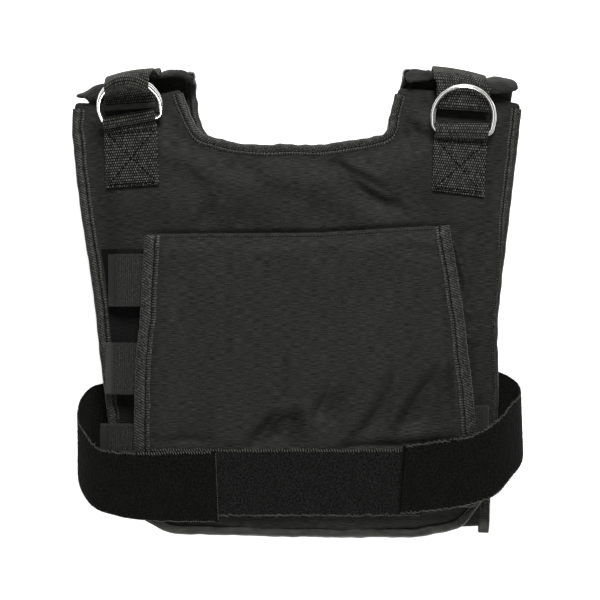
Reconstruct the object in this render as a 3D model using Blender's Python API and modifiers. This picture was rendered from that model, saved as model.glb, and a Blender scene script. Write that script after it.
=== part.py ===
# Weighted vest, lying on its back with the head end towards +Y and its front face up (+Z).
# Two padded cloth panels lie one on the other. The back panel's shoulder tongues fold over to
# the front, where webbing straps run through pairs of D rings, and a wide hook-and-loop belt
# comes round both sides onto the front. Every size is in millimetres until it enters a mesh.

import math

import bmesh
import bpy
from mathutils import Matrix, Vector, geometry
from mathutils.bvhtree import BVHTree

# Driving dimensions
MILLIMETRE = 0.001
GAP = 0.3                   # clearance between neighbouring pieces
TAPE_WALL = 1.0             # folded binding tape
PANEL_EDGE = 4.0            # panel thickness inside its binding
PANEL_SWELL = 28.0          # distance over which the padding reaches full thickness
EDGE_FLAT = 11.0            # flat margin under the binding

BACK_THICKNESS = 12.0
BACK_EDGE_MIDDLE = 7.2      # height of the back panel's thin edge
RECESS = 3.0                # padding pressed in by the belt and the straps behind it

FRONT_MIDDLE = 33.0         # mid height of the front panel over the torso space
FRONT_THICKNESS = 12.0
FRONT_CAMBER = 5.0          # how far its sides hang down
FRONT_HEM_DROP = 3.0

CURL_RADIUS = 22.0          # outer radius of the shoulder tongues' fold
CURL_NEUTRAL = 18.0         # radius that keeps the cloth's length
TONGUE_THICKNESS = 8.0

WEBBING_WIDTH = 50.0
WEBBING = 2.2
RING_WIRE = 3.6
RING_RADIUS = 28.6          # arc of the ring, at the middle of the wire
RING_LEG = 16.8
RING_BAR_HALF = 27.8
RING_CORNER = 4.0
RING_SPACING = 3.9

POUCH_THICKNESS = 16.0
POUCH_RIM = 3.0
FLAP_HEIGHT = 55.4          # underside of the flap over the full pouch
FLAP_THICKNESS = 2.0
FLAP_DROOP = 3.0
BELT_THICKNESS = 2.6
BAND_THICKNESS = 2.5
ELASTIC = 1.5

# Corners of the outlines: x, y and the radius that rounds the corner
FRONT_OUTLINE = (
    (-211, 185, 4), (-200, 185, 8), (-135, 193, 20), (-100, 200, 3),
    (-96, 178, 30), (-92, 157, 14), (-64, 147, 40), (-40, 145, 60),
    (10, 145, 60), (62, 150, 50), (84, 156, 14), (86, 174, 30),
    (93, 199, 3), (150, 197, 30), (195, 187, 8), (207, 185, 4),
    (203, 146, 60), (195.5, 84, 100), (187.5, 27, 60), (184.2, -16, 60),
    (183.6, -110, 60), (181.5, -158, 40), (166, -192, 30), (150, -214, 30),
    (110, -220.5, 60), (0, -221, 0), (-85, -220.5, 60), (-118, -218, 40),
    (-143, -205, 30), (-172, -175, 40), (-180, -104, 60), (-185, -62, 60),
    (-193.5, 27, 60), (-203, 84, 80), (-209, 122, 80), (-213, 162, 30),
)
# The back panel laid out flat: its tongues are folded over afterwards
BACK_OUTLINE = (
    (-207, 213, 5), (-181, 223, 20), (-150, 233, 40), (-97, 237, 4),
    (-95, 178, 30), (-91, 158, 14), (-64, 148, 40), (-40, 146, 60),
    (10, 146, 60), (62, 151, 50), (82, 157, 14), (85, 176, 30),
    (96, 210, 40), (97, 248, 4), (120, 246, 10), (130, 240, 12),
    (170, 236, 12), (181, 239, 10), (205, 235, 5), (203, 190, 40),
    (200, 150, 60), (192, 80, 100), (185, 27, 60), (182, -16, 60),
    (182, -110, 60), (182, -216, 4), (120, -218, 60), (0, -217, 0),
    (-110, -214, 40), (-150, -203, 30), (-168, -182, 30), (-176, -130, 60),
    (-183, -62, 60), (-191, 27, 60), (-201, 84, 80), (-206, 150, 60),
)
POUCH_OUTLINE = (
    (-133, 55, 10), (130, 60, 10), (151, -80, 80), (154, -186, 12),
    (-145, -188, 12), (-143, -80, 80),
)
FLAP_OUTLINE = (
    (-142.5, 61.5, 3), (18, 62.5, 60), (90, 67, 60), (136, 69, 5),
    (149.8, 5, 80), (160.5, -79, 80), (164, -150, 40), (164, -192, 5),
    (-154, -194, 5), (-155.5, -130, 60), (-153, -80, 60), (-147, -10, 60),
)

# Creases of the front panel and ridges of the flap: both ends, half width and depth or height
FRONT_CREASES = (
    (33, 138, 50, 116, 7, 2.6), (53, 113, 99, 87, 7, 3.2), (72, 122, 108, 108, 6, 1.6),
    (-104, 122, -88, 108, 7, 1.8), (-60, 96, -20, 88, 8, 1.2), (160, 66, 176, 20, 6, 2.0),
)
FLAP_RIDGES = (
    (52, -108, 96, -62, 9, 3.2), (92, -110, 132, -70, 9, 3.6), (14, -106, 52, -78, 9, 2.6),
    (100, 60, 136, 30, 7, 2.0),
)

# Shoulders: side, strap centre, curl front at the strap, its fall per square millimetre,
# ring bar centre, turn of the ring unit in degrees
SHOULDERS = {
    "left": {"strap": -157.5, "curl_top": 218.6, "fall": 0.0026, "bar": (-158.0, 165.5), "turn": 3.5},
    "right": {"strap": 150.5, "curl_top": 219.4, "fall": 0.0016, "bar": (151.5, 155.5), "turn": -4.0},
}
CURL_REFERENCE = 110.0      # x at which the curl stands furthest towards the head
STRAP_TAIL = 105.0          # y where the straps are sewn to the back panel

# Belt sections: x, y, z of the upper edge and of the lower edge
BELT_LEFT = (
    (-150, -79, 1.4, -150, -144, 1.4), (-182, -81, 1.5, -184, -146, 1.5),
    (-200, -86, 6, -203, -151, 7), (-208, -93, 15, -210, -158, 17),
    (-210, -103, 28, -211, -169, 31), (-206.5, -114, 41, -205, -183, 45),
    (-199, -123, 50, -191.5, -195, 54), (-188, -135.5, 56.5, -169, -201, 59.5),
    (-154, -140, 61.9, -139.5, -203.5, 62.2), (-111, -139.5, 62.2, -111, -204, 62.2),
    (-77.5, -139.5, 62.2, -74.8, -204.2, 62.2),
)
BELT_RIGHT = (
    (150, -64, 1.4, 150, -129, 1.4), (184, -67, 1.5, 186, -131, 1.5),
    (198, -72, 6, 201, -135, 6), (206, -79, 15, 209, -142, 16),
    (207, -86, 26, 212, -148, 31), (203.5, -90, 38, 208.5, -156, 42),
    (196.5, -96, 47, 198, -167, 51), (187, -107, 53.5, 185, -180, 56.5),
    (164.5, -123, 59.6, 162, -187, 60.6), (130, -130, 62.2, 116.5, -194.5, 62.2),
    (95, -135.5, 62.2, 90.4, -197, 62.2),
)
BAND_FRONT = (-138, 112, -141, -199)    # left, right, upper and lower edge of the front band
BELT_BACK_MIDDLE = -104.0
BELT_BACK_SLOPE = 0.05
BELT_WIDTH = 65.0

# Elastic side loops: name, side, outermost x, innermost x, upper y, lower y, height
SIDE_LOOPS = (
    ("side_loop_top", -180.5, -143, 43, -6, 9.5),
    ("side_loop_middle", -183, -147, -40, -88, 10.0),
    ("side_loop_low", -188, -149, -116, -164, 11.0),
    ("side_loop_right", 178, 156, -99, -149, 9.0),
)


def smooth(t):
    t = min(max(t, 0.0), 1.0)
    return t * t * (3.0 - 2.0 * t)


def fillet(corners, step, fine_above=1.0e9, fine_step=6.0):
    # Rounds the corners of an outline and cuts its sides to even lengths
    count = len(corners)
    points = []
    for i, (x, y, radius) in enumerate(corners):
        here = Vector((x, y))
        before = Vector(corners[i - 1][:2]) - here
        after = Vector(corners[(i + 1) % count][:2]) - here
        half = before.angle(after) / 2.0
        reach = min(radius / math.tan(half), 0.45 * before.length, 0.45 * after.length)
        if reach < 0.2:
            points.append(here)
            continue
        start = here + before.normalized() * reach
        end = here + after.normalized() * reach
        turn = math.pi - 2.0 * half
        pieces = max(1, round(turn / 0.5))
        for k in range(pieces + 1):
            t = k / pieces
            points.append((1 - t) ** 2 * start + 2 * t * (1 - t) * here + t * t * end)
    cut = []
    for i, a in enumerate(points):
        b = points[(i + 1) % len(points)]
        length = (b - a).length
        if length < 1.2:
            continue
        wanted = fine_step if max(a.y, b.y) > fine_above else step
        parts = max(1, math.ceil(length / wanted))
        cut.extend(a.lerp(b, k / parts) for k in range(parts))
    return cut


def edge_distance(outline, x, y):
    here = Vector((x, y))
    best = 1.0e9
    for i, a in enumerate(outline):
        b = outline[(i + 1) % len(outline)]
        side = b - a
        t = min(max((here - a).dot(side) / side.length_squared, 0.0), 1.0)
        best = min(best, (a + t * side - here).length)
    return best


def inside(outline, x, y):
    hits = False
    for i, a in enumerate(outline):
        b = outline[(i + 1) % len(outline)]
        if (a.y > y) != (b.y > y) and x < a.x + (y - a.y) * (b.x - a.x) / (b.y - a.y):
            hits = not hits
    return hits


def stretch(outline, start, end):
    # The samples of an outline from the one nearest to start to the one nearest to end
    first = min(range(len(outline)), key=lambda i: (outline[i] - Vector(start)).length)
    last = min(range(len(outline)), key=lambda i: (outline[i] - Vector(end)).length)
    count = (last - first) % len(outline)
    return [outline[(first + k) % len(outline)] for k in range(count + 1)]


def off_line(a, b, x, y):
    # Distance from a short line, and the place along it from 0 to 1
    start, side = Vector(a), Vector(b) - Vector(a)
    here = Vector((x, y))
    t = min(max((here - start).dot(side) / side.length_squared, 0.0), 1.0)
    return (start + t * side - here).length, t


def folds(table, x, y):
    total = 0.0
    for x0, y0, x1, y1, width, depth in table:
        distance, t = off_line((x0, y0), (x1, y1), x, y)
        total += depth * math.exp(-((distance / width) ** 2)) * (0.35 + 0.65 * math.sin(math.pi * t))
    return total


front_line = fillet(FRONT_OUTLINE, 27)
back_line = fillet(BACK_OUTLINE, 28, 172, 7.0)
pouch_line = fillet(POUCH_OUTLINE, 28)
flap_line = fillet(FLAP_OUTLINE, 28)


def front_mid(x, y):
    side = FRONT_CAMBER * (abs(x) / 200.0) ** 2.5
    return FRONT_MIDDLE - side - FRONT_HEM_DROP * smooth((-y - 150.0) / 70.0)


def swell(distance, edge, full):
    return edge + (full - edge) * smooth((distance - EDGE_FLAT) / PANEL_SWELL)


def front_lower(x, y):
    return front_mid(x, y) - swell(edge_distance(front_line, x, y), PANEL_EDGE, FRONT_THICKNESS) / 2


def front_upper(x, y):
    distance = edge_distance(front_line, x, y)
    dent = folds(FRONT_CREASES, x, y) * smooth((distance - EDGE_FLAT) / 8.0)
    return front_mid(x, y) + swell(distance, PANEL_EDGE, FRONT_THICKNESS) / 2 - dent


def curl_start(x):
    shoulder = SHOULDERS["left"] if x < 0 else SHOULDERS["right"]
    return shoulder["curl_top"] - CURL_RADIUS - shoulder["fall"] * (abs(x) - CURL_REFERENCE) ** 2


def pressed(x, y):
    # 1 where the belt or a strap lies under the back panel or the panel bends up, 0 elsewhere
    belt = abs(y - BELT_BACK_MIDDLE - BELT_BACK_SLOPE * x) - BELT_WIDTH / 2
    amount = 1.0 - smooth((belt - 21.0) / 14.0)
    for shoulder in SHOULDERS.values():
        strap = max(abs(x - shoulder["strap"]) - WEBBING_WIDTH / 2, STRAP_TAIL - y)
        amount = max(amount, 1.0 - smooth((strap - 20.0) / 14.0))
    return max(amount, smooth((y - 120.0) / 24.0))


def back_lower(x, y):
    distance = edge_distance(back_line, x, y)
    plump = smooth((distance - EDGE_FLAT) / PANEL_SWELL)
    low = (BACK_EDGE_MIDDLE - PANEL_EDGE / 2) * (1.0 - plump)
    return max(low, RECESS * pressed(x, y))


def back_upper(x, y):
    distance = edge_distance(back_line, x, y)
    full = BACK_THICKNESS - (BACK_THICKNESS - RECESS - TONGUE_THICKNESS) * smooth((y - 150.0) / 30.0)
    edge = BACK_EDGE_MIDDLE + PANEL_EDGE / 2
    return edge + (full - edge) * smooth((distance - EDGE_FLAT) / PANEL_SWELL)


def curl(point):
    # Folds whatever lies beyond the shoulder line up and over, towards the front
    x, y, z = point
    start = curl_start(x)
    if y <= start:
        return Vector((x, y, z))
    angle = (y - start) / CURL_NEUTRAL
    radius = CURL_RADIUS + RECESS - z
    return Vector((x, start + radius * math.sin(angle), RECESS + CURL_RADIUS - radius * math.cos(angle)))


def top_of_front(x, y, reach=6.0):
    # The highest point of the front panel's finished surface in a small patch around x, y
    heights = []
    for dx in (-reach, 0.0, reach):
        for dy in (-reach, 0.0, reach):
            start = Vector((x + dx, y + dy, 200.0)) * MILLIMETRE
            hit = front_surface.ray_cast(start, Vector((0.0, 0.0, -1.0)))[0]
            if hit:
                heights.append(hit.z / MILLIMETRE)
    return max(heights) if heights else front_mid(x, y) + PANEL_EDGE / 2


def pouch_lower(x, y):
    return top_of_front(x, y, 14.0) + GAP


def pouch_upper(x, y):
    rise = smooth(edge_distance(pouch_line, x, y) / 22.0)
    return min(front_mid(x, y) + FRONT_THICKNESS / 2 + POUCH_RIM + (POUCH_THICKNESS - POUCH_RIM) * rise,
               FLAP_HEIGHT - GAP)


def flap_lower(x, y):
    droop = FLAP_DROOP * (1.0 - smooth(edge_distance(flap_line, x, y) / 20.0))
    ridge = folds(FLAP_RIDGES, x, y) * smooth((edge_distance(flap_line, x, y) - 13.0) / 9.0)
    return FLAP_HEIGHT - droop + ridge


def flap_upper(x, y):
    return flap_lower(x, y) + FLAP_THICKNESS


def fabric(name, colour, roughness, metallic=0.0):
    material = bpy.data.materials.new(name)
    material.use_nodes = True
    shader = material.node_tree.nodes["Principled BSDF"]
    shader.inputs["Base Color"].default_value = (*colour, 1.0)
    shader.inputs["Roughness"].default_value = roughness
    shader.inputs["Metallic"].default_value = metallic
    return material


def add_object(name, data, material):
    obj = bpy.data.objects.new(name, data)
    data.materials.append(material)
    vest.objects.link(obj)
    obj.parent = root
    return obj


def mesh_object(name, bm, material):
    bmesh.ops.scale(bm, vec=(MILLIMETRE,) * 3, verts=bm.verts)
    mesh = bpy.data.meshes.new(name)
    bm.to_mesh(mesh)
    bm.free()
    mesh.shade_smooth()
    mesh.set_sharp_from_angle(angle=math.radians(40))
    return add_object(name, mesh, material)


def crease_points(table):
    # Mesh points along each fold and on both of its flanks
    points = []
    for x0, y0, x1, y1, width, _ in table:
        a, b = Vector((x0, y0)), Vector((x1, y1))
        across = (b - a).normalized().orthogonal()
        pieces = max(2, round((b - a).length / 11.0))
        for k in range(pieces + 1):
            middle = a.lerp(b, k / pieces)
            points.extend(middle + across * side * width * 1.15 for side in (-1, 0, 1))
    return points


def inset(outline, depth):
    # The seam line: each sample of the outline moved inwards by the depth
    points = []
    for i, here in enumerate(outline):
        tangent = (outline[(i + 1) % len(outline)] - outline[i - 1]).normalized()
        point = here + Vector((tangent.y, -tangent.x)) * depth
        if inside(outline, *point) and edge_distance(outline, *point) > depth * 0.93:
            if all((point - other).length > 2.5 for other in points):
                points.append(point)
    return points


def field(outline, spacing, seam=0.0, first=(), rows=None):
    # Points inside an outline: its seam line, the given ones, then an even triangular field
    points = inset(outline, seam) if seam else []

    def offer(point, clear):
        if not inside(outline, *point) or edge_distance(outline, *point) < clear * 0.6:
            return
        if all((point - other).length > clear * 0.62 for other in points):
            points.append(point)

    for point in first:
        offer(point, 9.0)
    low_x, high_x = min(p.x for p in outline), max(p.x for p in outline)
    low_y, high_y = min(p.y for p in outline), max(p.y for p in outline)
    y, odd = low_y + spacing / 2, False
    while y < high_y:
        x = low_x + (spacing if odd else spacing / 2)
        while x < high_x:
            if rows is None or not rows(x, y):
                offer(Vector((x, y)), spacing)
            x += spacing
        y += spacing * 0.866
        odd = not odd
    return points


def padded(name, outline, points, lower, upper, material, bend=None):
    # A closed body between two height functions over an outline
    flat = list(outline) + points
    border = [list(range(len(outline)))]
    spots, _, faces, *_ = geometry.delaunay_2d_cdt(flat, [], border, 1, 1.0e-4)
    bm = bmesh.new()
    bottom = [bm.verts.new((p.x, p.y, lower(p.x, p.y))) for p in spots]
    top = [bm.verts.new((p.x, p.y, upper(p.x, p.y))) for p in spots]
    sheet = [bm.faces.new([bottom[i] for i in face]) for face in faces]
    lid = [bm.faces.new([top[i] for i in face]) for face in faces]
    rim = [edge for edge in bm.edges if edge.is_boundary]
    bmesh.ops.bridge_loops(bm, edges=rim)
    if bend:
        for vert in bm.verts:
            vert.co = bend(vert.co)
    bmesh.ops.triangulate(bm, faces=[f for f in bm.faces if len(f.verts) > 3])
    bmesh.ops.recalc_face_normals(bm, faces=bm.faces)
    return mesh_object(name, bm, material)


def sheet_object(name, rows, thickness, material):
    # A strip of cloth through rows of points, thickened on both sides
    bm = bmesh.new()
    grid = [[bm.verts.new(point) for point in row] for row in rows]
    for low, high in zip(grid, grid[1:]):
        for a, b, c, d in zip(low, low[1:], high[1:], high):
            bm.faces.new((a, b, c, d))
    obj = mesh_object(name, bm, material)
    solid = obj.modifiers.new("thickness", "SOLIDIFY")
    solid.thickness = thickness * MILLIMETRE
    solid.offset = 0.0
    solid.use_even_offset = True
    return obj


def blend_rows(rows, pieces):
    # Catmull-Rom through the sections: each span gets its own number of pieces
    result = []
    for i in range(len(rows) - 1):
        p0, p1 = rows[max(i - 1, 0)], rows[i]
        p2, p3 = rows[i + 1], rows[min(i + 2, len(rows) - 1)]
        for k in range(pieces):
            t = k / pieces
            result.append([
                0.5 * (2 * b + (c - a) * t + (2 * a - 5 * b + 4 * c - d) * t * t
                       + (3 * b - a - 3 * c + d) * t ** 3)
                for a, b, c, d in zip(p0, p1, p2, p3)])
    result.append(list(rows[-1]))
    return result


def tape(name, path, middle, half, width, material, bend=None, overrun=0.0):
    # A binding tape folded over an edge: a channel open towards the inside of the panel
    rows = []
    reach = half + GAP + TAPE_WALL / 2
    outer = -GAP - TAPE_WALL / 2
    for i, point in enumerate(path):
        before = path[max(i - 1, 0)]
        after = path[min(i + 1, len(path) - 1)]
        tangent = (after - before).normalized()
        inward = Vector((tangent.y, -tangent.x))
        place = point.copy()
        if i == len(path) - 1 and overrun:
            place += tangent * overrun
        cover = width(point) if callable(width) else width
        row = []
        for depth, height in ((cover, -reach), (outer, -reach), (outer, reach), (cover, reach)):
            spot = place + inward * depth
            row.append(Vector((spot.x, spot.y, middle(spot.x, spot.y) + height)))
        rows.append([bend(v) for v in row] if bend else row)
    return sheet_object(name, rows, TAPE_WALL, material)


def shortened(path, cut):
    # The path without its first few millimetres
    while len(path) > 2 and (path[1] - path[0]).length < cut + 1.0:
        cut -= (path[1] - path[0]).length
        path = path[1:]
    if cut > 0.0:
        path = [path[0] + (path[1] - path[0]).normalized() * cut] + path[1:]
    return path


def trimmed(path, start, end):
    return shortened(shortened(path, start)[::-1], end)[::-1]


def back_mid(x, y):
    return BACK_EDGE_MIDDLE


def flap_mid(x, y):
    return flap_lower(x, y) + FLAP_THICKNESS / 2


def make_panels():
    points = field(front_line, 26, EDGE_FLAT, crease_points(FRONT_CREASES))
    panel = padded("front_panel", front_line, points, front_lower, front_upper, nylon)
    corners = [vert.co for vert in panel.data.vertices]
    surface = BVHTree.FromPolygons(corners, [face.vertices for face in panel.data.polygons])
    tongue_rows = []
    for low_x, high_x in ((-195, -103), (103, 195)):
        for column in range(5):
            x = low_x + (high_x - low_x) * column / 4
            tongue_rows.extend((x, curl_start(x) - 4 + 7.5 * row) for row in range(8))
    in_tongue = [Vector((x, y)) for x, y in tongue_rows]
    points = field(back_line, 28, EDGE_FLAT, in_tongue, lambda x, y: y > curl_start(x) - 10)
    padded("back_panel", back_line, points, back_lower, back_upper, nylon, curl)
    return surface


def make_tapes():
    half = PANEL_EDGE / 2
    neck = trimmed(stretch(front_line, (-99.5, 196), (92.5, 195)), 2, 2)
    tape("front_neck_tape", neck, front_mid, half, 7.5, tape_cloth)
    edge = trimmed(stretch(front_line, (206.7, 180), (-211.5, 180)), 2, 2)
    tape("front_edge_tape", edge, front_mid, half, lambda p: 9.0 - 1.0 * p.x / 200.0, tape_cloth)
    half += GAP
    neck = trimmed(stretch(back_line, (-97, 233), (97, 240)), 3, 6)
    tape("back_neck_tape", neck, back_mid, half, 7.5, tape_cloth, curl)
    right = trimmed(stretch(back_line, (201, 168), (182, -212)), 2, 0)
    tape("back_right_tape", right, back_mid, half, 8.5, tape_cloth, curl, 7.5)
    left = trimmed(stretch(back_line, (-150, -203), (-206, 166)), 2, 2)
    tape("back_left_tape", left, back_mid, half, 8.5, tape_cloth, curl)


def make_pouch():
    padded("weight_pouch", pouch_line, field(pouch_line, 28), pouch_lower, pouch_upper, nylon)
    corners = [Vector(corner) for corner in ((-131, 49), (126, 56), (-142, -181), (151, -179))]
    level = [Vector((x, BAND_FRONT[2] + 8.0)) for x in range(0, 150, 24)]
    points = field(flap_line, 30, 13.0, corners + level + crease_points(FLAP_RIDGES))
    padded("pouch_flap", flap_line, points, flap_lower, flap_upper, nylon)
    half = FLAP_THICKNESS / 2 + GAP
    right = trimmed(stretch(flap_line, (137, 66), (164, -188)), 10, 7)
    tape("flap_right_tape", right, flap_mid, half, 11.5, tape_cloth)
    left = trimmed(stretch(flap_line, (-154, -190), (-142.8, 59)), 7, 9)
    tape("flap_left_tape", left, flap_mid, half, 12.5, tape_cloth)


def loop_path(outer, knee, inner, height):
    # Places of an elastic across the vest, each with its rise over the panel
    radius = height / 2
    path = [(inner + (knee - inner) * k / 3, 0.0) for k in range(4)]
    for k in range(1, 6):
        angle = math.pi * k / 6
        path.append((knee + (outer - knee) * math.sin(angle), radius * (1 - math.cos(angle))))
    path += [(knee + (inner - knee) * k / 2, height) for k in range(3)]
    return path


def elastic_seat(x, y):
    # Middle height of an elastic that lies on the panel, or on the edge tape where it crosses that
    margin = edge_distance(front_line, x, y)
    if not inside(front_line, x, y):
        margin = -margin
    over_tape = (GAP + TAPE_WALL) * smooth((16.0 - margin) / 5.0)
    return top_of_front(x, y, 4.0) + GAP + ELASTIC / 2 + over_tape


def make_side_loops():
    # Each elastic lies on the panel, turns back at its outer end and runs in under the flap
    for name, outer, inner, top, bottom, height in SIDE_LOOPS:
        side = -1.0 if outer < 0 else 1.0
        knee = outer - side * height / 2
        grid = []
        for x, rise in loop_path(outer, knee, inner, height):
            seat_x = max(x, knee) if side < 0 else min(x, knee)
            row = []
            for k in range(4):
                y = top + (bottom - top) * k / 3
                row.append(Vector((x, y, elastic_seat(seat_x, y) + rise)))
            grid.append(row)
        sheet_object(name, grid, ELASTIC, elastic)


def ring_points():
    # The outline of a D ring from its bar: two rounded corners, two legs and half a circle
    points = []
    for side in (1, -1):
        quarter = []
        for k in range(4):
            angle = math.pi / 2 * k / 3
            quarter.append(Vector((side * (RING_BAR_HALF - RING_CORNER + RING_CORNER * math.sin(angle)),
                                   RING_CORNER * (1 - math.cos(angle)))))
        points.append(quarter)
    arc = []
    for k in range(15):
        angle = math.pi * k / 14
        arc.append(Vector((RING_RADIUS * math.cos(angle), RING_LEG + RING_RADIUS * math.sin(angle))))
    return points[0] + arc + points[1][::-1]


def unit_matrix(shoulder):
    centre = Vector((*shoulder["bar"], ring_height(shoulder)))
    return Matrix.Translation(centre) @ Matrix.Rotation(math.radians(shoulder["turn"]), 4, "Z")


def ring_height(shoulder):
    # The middle of the two bars: they lie on the sewn tab's lower layer
    base = top_of_front(*shoulder["bar"])
    return base + GAP + WEBBING + GAP + RING_SPACING / 2 + RING_WIRE / 2


def make_ring(name, shoulder, level, tilt, slide=0.0, twist=0.0):
    curve = bpy.data.curves.new(name, "CURVE")
    curve.dimensions = "3D"
    curve.bevel_depth = RING_WIRE / 2 * MILLIMETRE
    curve.bevel_resolution = 1
    spline = curve.splines.new("POLY")
    outline = ring_points()
    spline.points.add(len(outline) - 1)
    tilted = Matrix.Rotation(math.radians(tilt), 4, "X")
    bar = Vector((slide, -math.sin(math.radians(tilt)) * level, math.cos(math.radians(tilt)) * level))
    twisted = Matrix.Rotation(math.radians(twist), 4, "Z")
    place = unit_matrix(shoulder) @ Matrix.Translation(bar) @ tilted @ twisted
    for spot, point in zip(spline.points, outline):
        world = place @ Vector((point.x, point.y, 0.0)) * MILLIMETRE
        spot.co = (*world, 1.0)
    spline.use_cyclic_u = True
    add_object(name, curve, steel)


def make_tab(name, shoulder, length, ends):
    # One webbing strip: under the bars, round them and down the panel, sewn flat
    place = unit_matrix(shoulder)
    centre = ring_height(shoulder)
    turn_radius = RING_SPACING / 2 + RING_WIRE / 2 + GAP + WEBBING / 2
    low = GAP + WEBBING / 2
    path = [(-30.0, low, 1.0), (-18.0, low, 1.0), (-6.0, low, 1.0)]
    for k in range(9):
        angle = -math.pi / 2 + math.pi * 1.18 * k / 8
        path.append((turn_radius * math.cos(angle), turn_radius * math.sin(angle), 0.0))
    upper = low + WEBBING + GAP
    path += [(-9.5, upper + 1.6, 1.0), (-14.0, upper + 0.1, 1.0), (-26.0, upper, 1.0),
             (-36.0, low + 1.2, 1.0), (-length * 0.8, low, 1.0), (-length, low, 1.0)]
    rows = []
    for y, height, lying in path:
        row = []
        for k in range(5):
            x = WEBBING_WIDTH * (k / 4 - 0.5) * (0.99 if y > -12 else 1.0)
            spot = place @ Vector((x, y + ends * x / WEBBING_WIDTH * min(1.0, -y / length), 0.0))
            z = top_of_front(spot.x, spot.y, 4.0) + height if lying else centre + height
            row.append(Vector((spot.x, spot.y, z)))
        rows.append(row)
    sheet_object(name, rows, WEBBING, webbing)


def strap_rows(shoulder, last_angle, tilt, free):
    # From the back panel over the curl, then through points given in the rings' own plane
    stations = [WEBBING_WIDTH * (k / 4 - 0.5) for k in range(5)]
    level = RECESS - 0.4 - WEBBING / 2
    radius = CURL_RADIUS + 0.4 + WEBBING / 2
    rows = []
    for y in (STRAP_TAIL, 128.0, 150.0, 168.0):
        rows.append([Vector((shoulder["strap"] + x, y, level)) for x in stations])
    steps = 9
    for k in range(steps + 1):
        angle = math.radians(last_angle) * k / steps
        rows.append([Vector((shoulder["strap"] + x,
                             curl_start(shoulder["strap"] + x) + radius * math.sin(angle),
                             RECESS + CURL_RADIUS - radius * math.cos(angle))) for x in stations])
    place = unit_matrix(shoulder)
    slope = math.radians(tilt)
    for out, over, narrow, follow in free:
        row = []
        for x in stations:
            across = x * narrow
            sag = (RING_RADIUS - math.sqrt(RING_RADIUS ** 2 - across ** 2)) * follow
            reach = out - sag
            row.append(place @ Vector((across, reach * math.cos(slope) - over * math.sin(slope),
                                       reach * math.sin(slope) + over * math.cos(slope))))
        rows.append(row)
    return rows


def make_shoulders():
    left, right = SHOULDERS["left"], SHOULDERS["right"]
    make_tab("ring_tab_left", left, 62.0, 0.0)
    make_tab("ring_tab_right", right, 59.0, -2.0)
    half = RING_SPACING / 2
    make_ring("ring_left_upper", left, half, 36.0)
    make_ring("ring_left_lower", left, -half, 36.0)
    make_ring("ring_right_upper", right, half, 10.0)
    make_ring("ring_right_lower", right, -half, 1.0, 0.5, -0.8)
    # Places in the rings' plane: distance from the bars, height over the plane, narrowing, and
    # how far the webbing follows the ring's arc
    over_left = (
        (44.5, -13.5, 0.94, 0.3), (49.2, -7.0, 0.88, 0.6), (50.6, 0.0, 0.82, 0.9),
        (49.0, 5.0, 0.80, 1.0), (45.0, 6.6, 0.80, 1.0), (41.0, 5.2, 0.80, 1.0),
        (39.2, 0.8, 0.80, 1.0), (40.2, -4.2, 0.80, 1.0), (41.0, -9.0, 0.82, 0.8),
        (37.6, -16.0, 0.88, 0.4), (31.2, -21.6, 0.94, 0.0), (22.0, -19.6, 0.96, 0.0),
        (10.0, -12.6, 0.96, 0.0),
    )
    over_right = (
        (44.0, 3.6, 0.98, 0.0), (36.5, 3.4, 0.98, 0.0), (29.0, 3.0, 0.98, 0.0), (23.5, 1.8, 0.98, 0.0),
        (21.0, -0.8, 0.98, 0.0), (23.5, -3.6, 0.98, 0.0), (30.0, -5.1, 0.98, 0.0),
        (37.0, -6.2, 0.98, 0.0),
    )
    sheet_object("shoulder_strap_left", strap_rows(left, 138.0, 36.0, over_left), WEBBING, webbing)
    sheet_object("shoulder_strap_right", strap_rows(right, 152.0, 0.0, over_right), WEBBING, webbing)


def belt_rows(table, pieces):
    rows = [[Vector(section[:3]), Vector(section[3:])] for section in table]
    rows = blend_rows(rows, pieces)
    return [[a.lerp(b, k / 3) for k in range(4)] for a, b in rows]


def make_belt():
    sheet_object("belt_left", belt_rows(BELT_LEFT, 2), BELT_THICKNESS, hook_loop)
    sheet_object("belt_right", belt_rows(BELT_RIGHT, 2), BELT_THICKNESS, hook_loop)
    left, right = BELT_LEFT[0], BELT_RIGHT[0]
    ends = [[Vector((left[0] + GAP, left[1], left[2])), Vector((left[3] + GAP, left[4], left[5]))],
            [Vector((right[0] - GAP, right[1], right[2])), Vector((right[3] - GAP, right[4], right[5]))]]
    rows = [[a.lerp(b, k / 2) for a, b in zip(*ends)] for k in range(3)]
    sheet_object("belt_back", rows, BELT_THICKNESS, hook_loop)
    x0, x1, top, bottom = BAND_FRONT
    level = FLAP_HEIGHT + FLAP_THICKNESS + GAP + BAND_THICKNESS / 2
    rows = [[Vector((x0 + (x1 - x0) * k / 4, y, level)) for y in (top, bottom)] for k in range(5)]
    sheet_object("belt_front_band", rows, BAND_THICKNESS, hook_loop)


def centre_on_floor():
    # The frame's origin lies on the floor under the middle of the whole vest
    bpy.context.view_layer.update()
    graph = bpy.context.evaluated_depsgraph_get()
    corners = []
    for obj in vest.objects:
        if obj.type == "EMPTY":
            continue
        mesh = bpy.data.meshes.new_from_object(obj.evaluated_get(graph))
        corners.extend(obj.matrix_world @ vert.co for vert in mesh.vertices)
        bpy.data.meshes.remove(mesh)
    low = [min(c[i] for c in corners) for i in range(3)]
    high = [max(c[i] for c in corners) for i in range(3)]
    root.location = (-(low[0] + high[0]) / 2, -(low[1] + high[1]) / 2, -low[2])


for old in list(bpy.data.objects):
    bpy.data.objects.remove(old, do_unlink=True)
vest = bpy.data.collections.new("weighted_vest")
bpy.context.scene.collection.children.link(vest)
root = bpy.data.objects.new("vest_frame", None)
vest.objects.link(root)

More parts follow.
